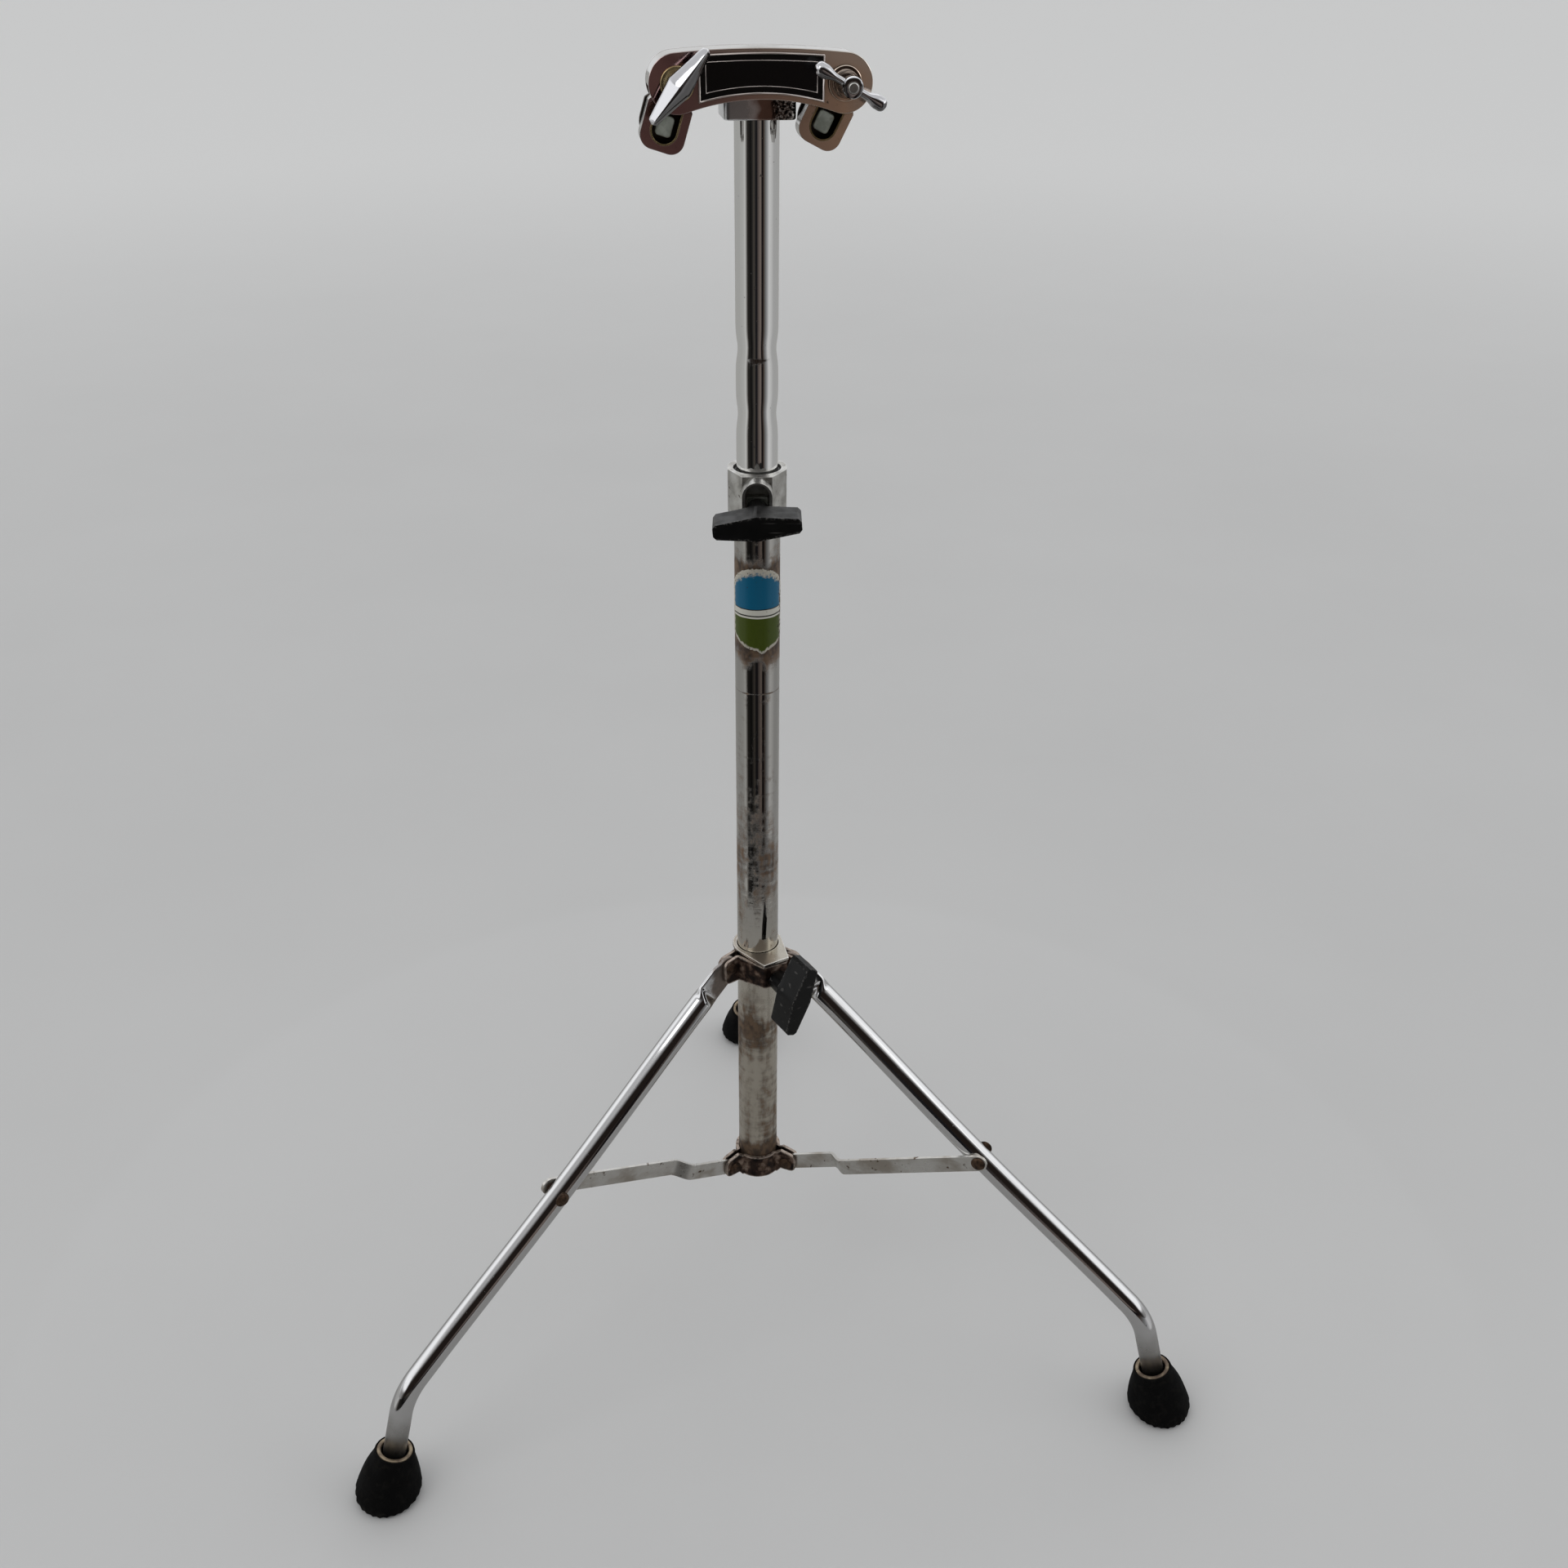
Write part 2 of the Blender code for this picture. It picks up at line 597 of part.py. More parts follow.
def build_brace(leg, azimuth):
    """Flat strip with a joggle that carries it from the hub's slot to the leg's side."""
    start = Vector(BRACE_PIVOT)
    along = Vector(BRACE_RIVET) - start
    length = along.length
    along.normalize()
    across = Vector((-along.y, along.x))
    end_r = BRACE_HALF_WIDTH

    def station(distance, offset, half_width, lean):
        point = start + along * distance
        middle = in_leg_plane(azimuth, point.x, point.y, offset)
        lift = radial(azimuth) * across.x + Vector((0, 0, across.y))
        run = radial(azimuth) * along.x + Vector((0, 0, along.y))
        side = (tangent(azimuth) + run * lean).normalized()
        return (middle, side, lift * -half_width, lift * half_width)

    ends = [(1.0, 0.3), (0.8, 0.62), (0.4, 0.92)]
    stations = [station(-end_r * d, 0.0, end_r * w, 0.0) for d, w in ends]
    stations.append(station(JOGGLE[0], 0.0, end_r, 0.25))
    stations.append(station(JOGGLE[1], -BRACE_OFFSET, end_r, 0.25))
    stations += [station(length + end_r * d, -BRACE_OFFSET, end_r * w, 0.0) for d, w in reversed(ends)]
    add_object("brace_" + leg, strip(stations, BRACE_HALF), "worn_chrome", "brace_" + leg)


def build_brace_pivot(leg, azimuth):
    """Rivet in two halves: one rides with the brace, one with the leg, so that the loop is open."""
    outer = -BRACE_OFFSET - BRACE_HALF - GAP
    frame = axial_frame(in_leg_plane(azimuth, *BRACE_RIVET), tangent(azimuth))
    head = [(3.0, outer - 2.0), (4.6, outer - 0.8), (4.6, outer), (2.5, outer), (2.5, -LEG_R - GAP / 2)]
    add_object("brace_rivet_" + leg, turned(head, 14, frame), "rusty_steel", "brace_" + leg)
    inner = LEG_R + GAP
    stud = [(2.5, -LEG_R + 0.2), (2.5, inner), (4.6, inner), (4.6, inner + 1.2), (3.0, inner + 2.0)]
    add_object("leg_stud_" + leg, turned(stud, 14, frame), "rusty_steel", "leg_" + leg)
    hole = pivot_cutter("brace_hole_" + leg, azimuth, *BRACE_RIVET, 2.8, 12.0)
    combine(bpy.data.objects["brace_" + leg], hole)
    combine(bpy.data.objects["leg_" + leg], hole)


def build_foot(leg, azimuth):
    """Rubber foot that is coaxial with the leg's end and flat where it meets the floor."""
    down = radial(azimuth) * LEG_END_DOWN.x + Vector((0, 0, LEG_END_DOWN.y))
    sole = in_leg_plane(azimuth, SOLE_REACH, 0.0)
    frame = axial_frame(sole, -down)
    shear = math.tan(math.radians(LEG_END_SLOPE))
    seat_r, seat_depth = FERRULE[1] + GAP, FERRULE[2] + GAP
    profile = [(FOOT_SOLE_R, 0.0), (FOOT_WIDE_R, 1.8), (FOOT_WIDE_R, 4.0), (FOOT_TOP_R + 0.7, FOOT_HEIGHT - 2.0),
               (FOOT_TOP_R, FOOT_HEIGHT), (seat_r, FOOT_HEIGHT), (seat_r, FOOT_HEIGHT - seat_depth),
               (LEG_R + GAP, FOOT_HEIGHT - seat_depth), (LEG_R + GAP, FOOT_HEIGHT - FOOT_BORE_DEPTH)]
    rings = []
    for radius, z in profile:
        flatten = max(0.0, 1.0 - z / FOOT_WIDE_R)
        ring = []
        for point in circle(radius, 24, z):
            world = frame @ point
            if z < 1.0:
                world.z = level(0.0)
            elif flatten:
                share = flatten * (frame @ point - frame @ Vector((0, 0, z))).dot(radial(azimuth)) * shear
                world.z -= share
            ring.append(world)
        rings.append(ring)
    add_object("foot_" + leg, skin(rings), "rubber", "leg_" + leg)
    inner_r, outer_r, height = FERRULE
    low = FOOT_HEIGHT - height
    wall = [(inner_r, low), (outer_r, low), (outer_r, FOOT_HEIGHT), (inner_r, FOOT_HEIGHT)]
    add_object("foot_ring_" + leg, turned(wall, 24, frame, True), "brass", "leg_" + leg)


# ---------------------------------------------------------------- height clamp

def clamp_screw_frame():
    return axial_frame(Vector((0, 0, level(CLAMP_SCREW_HEIGHT))), radial(CLAMP_AZIMUTH))


def collar_screw_frame():
    origin = tangent(NOSE_AZIMUTH) * COLLAR_SCREW_OFFSET + Vector((0, 0, level(COLLAR_SCREW_HEIGHT)))
    return axial_frame(origin, radial(NOSE_AZIMUTH))


def build_height_clamp():
    half = CLAMP_HALF_WIDTH
    outline = [(-half, -4.0), (-half, 5.0), (-11.0, 12.5), (-5.0, 16.2), (5.0, 16.2), (11.0, 12.5),
               (half, 5.0), (half, -4.0), (CLAMP_BOSS_HALF, -17.5), (-CLAMP_BOSS_HALF, -17.5)]
    facing = basis(Vector((0, 0, -COLUMN_END)), tangent(CLAMP_AZIMUTH), -radial(CLAMP_AZIMUTH), Vector((0, 0, 1)))
    mesh = prism(outline, CLAMP_LOW, CLAMP_HIGH, facing)
    clamp = add_object("height_clamp", mesh, "chrome", "column")
    frame = clamp_screw_frame()
    arch = POCKET_ARCH_HEIGHT - CLAMP_SCREW_HEIGHT

    def arched(half_width, bottom):
        return [(-half_width, bottom), (half_width, bottom)] + arc((0, arch), half_width, 0, 180, 10)

    boss_arch = CLAMP_HIGH - CLAMP_SCREW_HEIGHT - CLAMP_BOSS_HALF - 0.05
    boss = [(-CLAMP_BOSS_HALF, -12.0), (CLAMP_BOSS_HALF, -12.0)]
    boss += arc((0, boss_arch), CLAMP_BOSS_HALF, 0, 180, 12)
    combine(clamp, add_cutter("clamp_boss", prism(boss, 15.0, CLAMP_BOSS_FRONT, frame)), 'UNION')
    bore = [(CLAMP_BORE_R, CLAMP_LOW - 5.0), (CLAMP_BORE_R, CLAMP_HIGH + 5.0)]
    combine(clamp, add_cutter("clamp_bore", turned(bore, ROUND_STEPS, upright_frame())))
    pocket = prism(arched(POCKET_HALF, -8.0), 17.0, CLAMP_BOSS_FRONT + 1.0, frame)
    combine(clamp, add_cutter("clamp_pocket", pocket))
    hole = turned([(SCREW_HOLE_R, 11.0), (SCREW_HOLE_R, 18.0)], 16, frame)
    combine(clamp, add_cutter("clamp_screw_hole", hole))
    build_nut("clamp_nut", frame, (17.4, 21.6), 5.6, "column")


def build_clamp_bush():
    low, high = LOWER_TUBE_TOP + GAP, CLAMP_HIGH - 1.2
    inner = UPPER_TUBE_R + 0.1
    wall = [(inner, low), (BUSH_R, low), (BUSH_R, high), (inner, high)]
    add_object("clamp_bush", turned(wall, ROUND_STEPS, upright_frame(), True), "black_plastic", "clamp_bush")


def build_t_knob(name, frame, hub_r, hub_start, bar_start, tip, turn):
    """Moulded T-knob on a screw: name_knob and name_screw turn together."""
    turned_frame = frame @ Matrix.Rotation(math.radians(turn), 4, 'Z')
    half, middle, end = KNOB_LENGTH / 2, KNOB_MIDDLE / 2, KNOB_END / 2
    bar = [(0.0, -middle), (half - 1.6, -end - 0.4), (half, -end + 1.4), (half, end - 1.4),
           (half - 1.6, end + 0.4), (0.0, middle), (-half + 1.6, end + 0.4), (-half, end - 1.4),
           (-half, -end + 1.4), (-half + 1.6, -end - 0.4)]
    knob = add_object(name + "_knob", prism(bar, bar_start, bar_start + KNOB_DEPTH, turned_frame),
                      "black_plastic", name + "_knob")
    hub = turned([(hub_r - 0.8, hub_start), (hub_r, bar_start + 4.0)], 20, turned_frame)
    combine(knob, add_cutter(name + "_hub", hub), 'UNION')
    screw_end = bar_start + 8.0
    socket = turned([(SCREW_R + GAP, hub_start - 1.0), (SCREW_R + GAP, screw_end + GAP)], 16, turned_frame)
    combine(knob, add_cutter(name + "_socket", socket))
    shank = [(SCREW_R - 0.8, tip), (SCREW_R, tip + 1.0), (SCREW_R, screw_end)]
    add_object(name + "_screw", turned(shank, 16, turned_frame), "zinc", name + "_knob")


# ---------------------------------------------------------------- top bracket

def arch_radii():
    """Radii of the upper and lower edges, each tangent to the round ends."""
    rise = BRACKET_TOP - PIVOT_HEIGHT
    drop = BRACKET_BOTTOM - PIVOT_HEIGHT
    top = (PIVOT_X ** 2 + rise ** 2 - END_R ** 2) / (2 * (rise - END_R))
    bottom = (PIVOT_X ** 2 + drop ** 2 - END_R ** 2) / (2 * (END_R + drop))
    return top, bottom


def arch_outline(inset):
    """Arched outline in (x, height), anticlockwise from the left end's underside."""
    top_r, bottom_r = arch_radii()
    end_r = END_R - inset
    top_centre = BRACKET_TOP - top_r
    bottom_centre = BRACKET_BOTTOM - bottom_r
    bottom_tilt = math.degrees(math.atan2(PIVOT_X, PIVOT_HEIGHT - bottom_centre))
    top_tilt = math.degrees(math.atan2(PIVOT_X, PIVOT_HEIGHT - top_centre))
    outline = arc((0, bottom_centre), bottom_r + inset, 90 + bottom_tilt, 90 - bottom_tilt, 10)
    outline += arc((PIVOT_X, PIVOT_HEIGHT), end_r, -90 - bottom_tilt, 90 - top_tilt, 14)[1:]
    outline += arc((0, top_centre), top_r - inset, 90 - top_tilt, 90 + top_tilt, 8)[1:]
    outline += arc((-PIVOT_X, PIVOT_HEIGHT), end_r, 90 + top_tilt, 270 + bottom_tilt, 14)[1:-1]
    return outline


def facing_frame():
    """Local x and y are world x and height, local z runs towards +Y."""
    return basis(Vector((0, 0, -COLUMN_END)), Vector((1, 0, 0)), Vector((0, 0, 1)), Vector((0, 1, 0)))


def bolt_frame(side):
    return axial_frame(Vector((SIDES[side] * PIVOT_X, 0, level(PIVOT_HEIGHT))), Vector((0, -1, 0)))


def build_bracket():
    frame = facing_frame()
    shell = add_object("bracket_shell", prism(arch_outline(0.0), BRACKET_FRONT, BRACKET_BACK, frame),
                       "chrome", "upper_column")
    edge = PIVOT_HEIGHT - 1.2
    inner = [point for point in arch_outline(BRACKET_WALL) if point[1] > edge]
    reach = PIVOT_X + END_R + 5.0
    hollow = [(-reach, edge - 25.0), (reach, edge - 25.0), (reach, edge), (inner[0][0], edge)]
    hollow += inner + [(inner[-1][0], edge), (-reach, edge)]
    cavity = prism(hollow, BRACKET_FRONT + BRACKET_WALL, BRACKET_BACK + 1.0, frame)
    combine(shell, add_cutter("bracket_cavity", cavity))
    back = add_object("bracket_back", prism(arch_outline(0.0), *BACK_PLATE, frame), "chrome", "upper_column")
    half = SOCKET_HALF[0] + GAP
    notch = [(-half, BRACKET_BOTTOM - 20.0), (half, BRACKET_BOTTOM - 20.0),
             (half, SOCKET_HEIGHTS[1] + GAP), (-half, SOCKET_HEIGHTS[1] + GAP)]
    combine(back, add_cutter("back_notch", prism(notch, BACK_PLATE[0] - 1, BACK_PLATE[1] + 1, frame)))
    for side in SIDES:
        hole = turned([(BOLT_HOLE_R, -6.0), (BOLT_HOLE_R, 22.0)], 16, bolt_frame(side))
        cutter = add_cutter("bolt_hole_" + side, hole)
        for thing in (shell, back, bpy.data.objects["tilter_" + side], bpy.data.objects["rear_tab_" + side]):
            combine(thing, cutter)


def build_badge():
    """Plain black inlay that follows the bracket's arch."""
    top_r, bottom_r = arch_radii()
    half = 29.0
    lean = math.degrees(math.asin(half / (top_r - 2.5)))
    under = math.degrees(math.asin(half / (bottom_r + 3.2)))
    outline = arc((0, BRACKET_BOTTOM - bottom_r), bottom_r + 3.2, 90 + under, 90 - under, 10)
    outline += arc((0, BRACKET_TOP - top_r), top_r - 2.5, 90 - lean, 90 + lean, 6)
    front = BRACKET_FRONT - GAP
    add_object("badge_panel", prism(outline, front - 0.8, front, facing_frame()), "black_plastic", "upper_column")


def build_socket_block():
    half_x, half_y = SOCKET_HALF
    corner = 3.0
    outline = []
    for x, y, start in ((1, -1, -90), (1, 1, 0), (-1, 1, 90), (-1, -1, 180)):
        outline += arc((x * (half_x - corner), y * (half_y - corner)), corner, start, start + 90, 3)
    block = add_object("tube_socket", prism(outline, *SOCKET_HEIGHTS, upright_frame()), "chrome", "upper_column")
    bore = [(UPPER_TUBE_R + GAP, SOCKET_HEIGHTS[0] - 2), (UPPER_TUBE_R + GAP, UPPER_TUBE_TOP + GAP)]
    combine(block, add_cutter("socket_bore", turned(bore, ROUND_STEPS, upright_frame())))


# ---------------------------------------------------------------- tilters and wings

def tilter_frame(side):
    """Local x across the tilter, local y up it from the pivot, local z towards the front."""
    tilt = Matrix.Rotation(math.radians(TILTS[side]), 4, 'Z')
    return bolt_frame(side) @ tilt


def tab_outline(length, widen):
    """Spade: round neck at the pivot, shoulders below it and rounded lower corners."""
    half = TAB_HALF + widen
    outline = arc((0, 0), NECK_HALF, 0, 180, 10)
    outline += [(-NECK_HALF, -7.0), (-half, -10.5)]
    outline += arc((TAB_CORNER_R - half, TAB_CORNER_R - length), TAB_CORNER_R, 180, 270, 5)
    outline += arc((half - TAB_CORNER_R, TAB_CORNER_R - length), TAB_CORNER_R, 270, 360, 5)
    outline += [(half, -10.5), (NECK_HALF, -7.0)]
    return outline


def round_bottomed(half, top, bottom, steps):
    """Flat top, straight sides and a half-round lower end."""
    return [(half, -top), (-half, -top)] + arc((0, half - bottom), half, 180, 360, steps)


def build_tilter(side):
    frame = tilter_frame(side)
    body = "tilter_" + side
    tilter = add_object("tilter_" + side, prism(tab_outline(TAB_LENGTH, 0.0), -TILTER_BACK, -TILTER_FRONT, frame),
                        "chrome", body)
    floor = -TILTER_FRONT - TILTER_WALL
    inner = round_bottomed(TAB_HALF - 2.0, 9.5, TAB_LENGTH - 2.0, 10)
    combine(tilter, add_cutter("cup_" + side, prism(inner, -TILTER_BACK - 1.0, floor, frame)))
    window = round_bottomed(WINDOW_HALF, WINDOW_TOP, WINDOW_BOTTOM, 12)
    combine(tilter, add_cutter("window_" + side, prism(window, floor - 1.0, floor + 5.0, frame)))
    rear = add_object("rear_tab_" + side, prism(tab_outline(REAR_TAB_LENGTH, 1.0), -REAR_TAB[1], -REAR_TAB[0], frame),
                      "worn_chrome", body)
    stud_frame = frame @ Matrix.Translation((0, -BLOCK_CENTRE, 0))
    stud_hole = turned([(BOLT_HOLE_R, 0.0), (BOLT_HOLE_R, 8.0)], 16, stud_frame)
    combine(rear, add_cutter("stud_hole_" + side, stud_hole))
    block_half = (4.0, 4.8)
    corner = 1.6
    outline = []
    for x, y, start in ((1, -1, -90), (1, 1, 0), (-1, 1, 90), (-1, -1, 180)):
        centre = (x * (block_half[0] - corner), y * (block_half[1] - corner))
        outline += arc(centre, corner, start, start + 90, 2)
    block = add_object("clamp_block_" + side, prism(outline, 5.6, 13.4, stud_frame), "zinc", body)
    stud = turned([(BOLT_R, 0.6), (BOLT_R, 7.0)], 16, stud_frame)
    combine(block, add_cutter("stud_" + side, stud), 'UNION')


def build_pivot_bolt(side, length):
    frame = bolt_frame(side)
    seat = -BACK_PLATE[1] - GAP
    hexagon = [(x, y) for x, y, _ in circle(5.6, 6)]
    bolt = add_object("pivot_bolt_" + side, prism(hexagon, seat - 3.6, seat, frame), "chrome", "upper_column")
    shank = turned([(BOLT_R, seat - 1.0), (BOLT_R, length)], 16, frame)
    combine(bolt, add_cutter("bolt_shank_" + side, shank), 'UNION')
    washer_low = -BRACKET_FRONT + GAP
    wall = [(BOLT_HOLE_R, washer_low), (8.0, washer_low), (8.0, washer_low + 1.4), (BOLT_HOLE_R, washer_low + 1.4)]
    add_object("washer_" + side, turned(wall, 24, frame, True), "brass" if side == "left" else "chrome",
               "upper_column")


def build_left_wing():
    """Lozenge wing on a round neck, closed over the end of its bolt."""
    frame = bolt_frame("left") @ Matrix.Rotation(math.radians(49.5), 4, 'Z')
    half, middle, end = 20.7, 5.7, 2.1
    bar = [(0.0, -middle), (half - 1.2, -end), (half, -end + 1.2), (half, end - 1.2), (half - 1.2, end),
           (0.0, middle), (1.2 - half, end), (-half, end - 1.2), (-half, -end + 1.2), (1.2 - half, -end)]
    wing = add_object("wing_bolt_left", prism(bar, 29.0, 39.0, frame), "chrome", "wing_left")
    neck = turned([(6.6, 21.1), (6.6, 22.6), (4.6, 26.0), (4.6, 32.0)], 20, frame)
    combine(wing, add_cutter("wing_neck_left", neck), 'UNION')
    socket = turned([(BOLT_HOLE_R, 20.0), (BOLT_HOLE_R, 36.4)], 16, frame)
    combine(wing, add_cutter("wing_socket_left", socket))


def build_right_wing():
    """Wing nut: stepped hub with two round-ended wings."""
    frame = bolt_frame("right") @ Matrix.Rotation(math.radians(-28.0), 4, 'Z')
    hub = turned([(8.0, 21.1), (8.0, 22.3), (5.6, 27.0), (4.6, 36.0), (4.6, 41.0), (3.9, 42.0)], 20, frame)
    nut = add_object("wing_nut_right", hub, "chrome", "wing_right")
    half, thick = 19.0, 2.7
    bar = arc((half - thick, 0), thick, -90, 90, 8) + arc((thick - half, 0), thick, 90, 270, 8)
    combine(nut, add_cutter("wing_bar_right", prism(bar, 30.0, 39.0, frame)), 'UNION')
    bore = turned([(BOLT_HOLE_R, 20.0), (BOLT_HOLE_R, 43.0)], 16, frame)
    combine(nut, add_cutter("wing_bore_right", bore))


# ---------------------------------------------------------------- assembly

def make_bodies():
    make_body("column", Vector((0, 0, 0)))
    make_body("clamp_bush", Vector((0, 0, level(LOWER_TUBE_TOP))))
    make_body("clamp_knob", Vector((0, 0, level(CLAMP_SCREW_HEIGHT))))
    make_body("upper_column", Vector((0, 0, level(UPPER_TUBE_TOP))))
    make_body("collar", Vector((0, 0, level(COLLAR_SCREW_HEIGHT))))
    make_body("collar_knob", collar_screw_frame().to_translation())
    for side, sign in SIDES.items():
        pivot = Vector((sign * PIVOT_X, 0, level(PIVOT_HEIGHT)))
        make_body("tilter_" + side, pivot)
        make_body("wing_" + side, pivot)
    for leg, azimuth in LEG_AZIMUTHS.items():
        make_body("leg_" + leg, in_leg_plane(azimuth, *LEG_PIVOT))
        make_body("brace_" + leg, in_leg_plane(azimuth, *BRACE_PIVOT))


def build_all():
    clear_scene()
    MATERIALS.update(make_materials())
    make_bodies()
    build_tubes()
    build_end_plug()
    build_label()
    for leg, azimuth in LEG_AZIMUTHS.items():
        build_leg(leg, azimuth)
        build_brace(leg, azimuth)
        build_brace_pivot(leg, azimuth)
        build_foot(leg, azimuth)
    build_hub()
    build_collar()
    build_height_clamp()
    build_clamp_bush()
    build_t_knob("clamp", clamp_screw_frame(), 5.8, 22.2, 37.5, 13.0, 5.0)
    build_t_knob("collar", collar_screw_frame(), 6.5, 25.6, 36.5, 13.1, 70.0)
    for side in SIDES:
        build_tilter(side)
        build_pivot_bolt(side, 36.0 if side == "left" else 43.0)
    build_bracket()
    build_badge()
    build_socket_block()
    build_left_wing()
    build_right_wing()
    bpy.context.view_layer.update()


build_all()
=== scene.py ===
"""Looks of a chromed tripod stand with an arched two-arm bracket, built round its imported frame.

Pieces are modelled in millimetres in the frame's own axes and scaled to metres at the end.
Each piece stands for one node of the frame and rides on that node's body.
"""

import json
import math

import bmesh
import bpy
from mathutils import Matrix, Vector, noise


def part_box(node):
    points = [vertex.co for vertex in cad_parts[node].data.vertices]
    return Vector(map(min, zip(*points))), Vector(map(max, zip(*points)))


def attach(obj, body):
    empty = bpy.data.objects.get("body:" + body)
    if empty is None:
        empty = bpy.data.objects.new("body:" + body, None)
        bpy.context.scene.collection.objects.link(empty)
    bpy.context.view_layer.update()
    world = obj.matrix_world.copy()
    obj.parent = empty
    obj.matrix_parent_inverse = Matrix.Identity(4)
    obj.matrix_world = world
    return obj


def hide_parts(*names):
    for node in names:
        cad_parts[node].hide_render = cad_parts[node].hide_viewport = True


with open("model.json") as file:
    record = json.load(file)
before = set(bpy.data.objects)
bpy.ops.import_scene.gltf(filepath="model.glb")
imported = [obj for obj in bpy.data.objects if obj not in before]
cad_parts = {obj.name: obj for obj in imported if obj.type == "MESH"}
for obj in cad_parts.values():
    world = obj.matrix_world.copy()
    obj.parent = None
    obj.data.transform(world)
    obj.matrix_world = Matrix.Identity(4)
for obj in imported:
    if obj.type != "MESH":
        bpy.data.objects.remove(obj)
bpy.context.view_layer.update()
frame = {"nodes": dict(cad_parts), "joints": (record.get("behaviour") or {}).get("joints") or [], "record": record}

MM = 0.001
ORIGIN = Vector((0, 0, 0))
UP = Vector((0, 0, 1))
UPRIGHT = Matrix.Identity(4)
GAP = 0.3
LEGS = ("rear", "left", "right")
SIDES = ("left", "right")
PLATE_LEGS = {"front": ("left", "right"), "right": ("right", "rear"), "left": ("rear", "left")}

BODY_OF = {node: body for body, nodes in frame["record"]["behaviour"]["bodies"].items() for node in nodes}
JOINTS = {joint["name"]: joint for joint in frame["joints"]}
MOUNTS = {mount["name"]: mount for mount in frame["record"]["mounts"]}


# ---------------------------------------------------------------- the frame, in millimetres

def node_box(node):
    low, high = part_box(node)
    return low / MM, high / MM


def pivot(joint):
    return Vector(JOINTS[joint]["pos_m"]) / MM


def in_plane(point):
    """(distance from the column's axis, height) of a point."""
    return Vector((math.hypot(point.x, point.y), point.z))


def half_width(node):
    low, high = node_box(node)
    return (high.x - low.x) / 2


LOWER_R = half_width("lower_tube")
UPPER_R = half_width("upper_tube")
LOWER_TOP = node_box("lower_tube")[1].z
CAP_TOP = node_box("collar_cap")[1].z
CLAMP_LOW, CLAMP_HIGH = (corner.z for corner in node_box("height_clamp"))
HUB_LOW = node_box("hub_plate_front")[0].z
HUB_HIGH = node_box("hub_plate_front")[1].z
COLLAR_LOW = node_box("collar_plate_right")[0].z
FLOOR = MOUNTS["sole_rear"]["pos_m"][2] / MM
LEG_PIVOTS = {leg: pivot("leg_fold_" + leg) for leg in LEGS}
AZIMUTHS = {leg: math.degrees(math.atan2(place.y, place.x)) for leg, place in LEG_PIVOTS.items()}
LEG_PIVOT = in_plane(LEG_PIVOTS["rear"])
BRACE_PIVOT = in_plane(pivot("brace_fold_rear"))
BRACE_RIVET = in_plane((node_box("leg_stud_rear")[0] + node_box("leg_stud_rear")[1]) / 2)
SOLE = in_plane(Vector(MOUNTS["sole_rear"]["pos_m"]) / MM)
LEG_DOWN = (BRACE_RIVET - LEG_PIVOT).normalized()

# column
TUBE_WALL = 1.2
DENTS = ((554.6, 1.1), (520.6, 1.0))     # (height, depth) of the upper tube's two pinched rings
DENT_WIDTH = 6.0
LABEL_HALF_ANGLE = 79.0
LABEL_RADII = (LOWER_R + 0.12, LOWER_R + 0.38)
LABEL_PRINT = (("olive", 0.0), ("white", 21.6), ("ink", 22.8), ("white", 23.4), ("ink", 26.7),
               ("blue", 27.2))        # bands from the label's lowest point up

# legs, braces and feet
LEG_R = 7.0
LEG_END_SLOPE = math.radians(15.0)
LEG_END_DOWN = Vector((math.sin(LEG_END_SLOPE), -math.cos(LEG_END_SLOPE)))
LEG_BEND_R = 45.0
LEG_END_CLEARANCE = 15.0
LEG_BOW = 2.2                # sag of the long straight run towards the column
TONGUE_HALF = 1.5
TONGUE_END_R = 7.2
TONGUE_HALF_WIDTH = 9.0
TONGUE_LENGTH = 19.5
CRIMP_LENGTH = 8.0
BRACE_HALF = 1.0
BRACE_HALF_WIDTH = 5.6
BRACE_OFFSET = LEG_R + GAP + BRACE_HALF
JOGGLE = (34.8, 46.1)        # where a brace steps sideways, along its length
STUD_HEAD_R = 4.6
STUD_HEAD_HEIGHT = 2.0
FOOT_HEIGHT = 34.5
FOOT_TOP_R = 12.1
FOOT_WIDE_R = 20.5
FOOT_SEAT_R = 11.3
FOOT_RIBS = 26

# pressed plates
PLATE_THICK = 2.0
PLATE_MIDDLE_R = LOWER_R + GAP + PLATE_THICK / 2
EAR_ROOT = LOWER_R + GAP + 5.0
EAR_CORNER_R = 4.0
HUB_REACH = 28.5
COLLAR_REACH = 28.0
CAP_THICK = 2.0
CAP_R = 15.7
NOSE_AZIMUTH = -66.0
NOSE_FRONT = 25.0
NOSE_SIDES = (-10.3, 7.6)
NOSE_EAR_ROOTS = (17.4, 14.5)

# height clamp and T-knobs
CLAMP_AZIMUTH = -97.0
CLAMP_HALF_WIDTH = 15.8
BOSS_FRONT = 27.0
BOSS_HALF = 8.0
POCKET_HALF = 6.5
POCKET_ARCH = 7.7            # height of the pocket arch's centre above the screw
KNOB_LENGTH = 46.0
KNOB_MIDDLE = 13.0
KNOB_END = 7.0
KNOB_DEPTH = 18.0
SCREW_R = 3.0
SCREW_HOLE_R = SCREW_R + 0.25

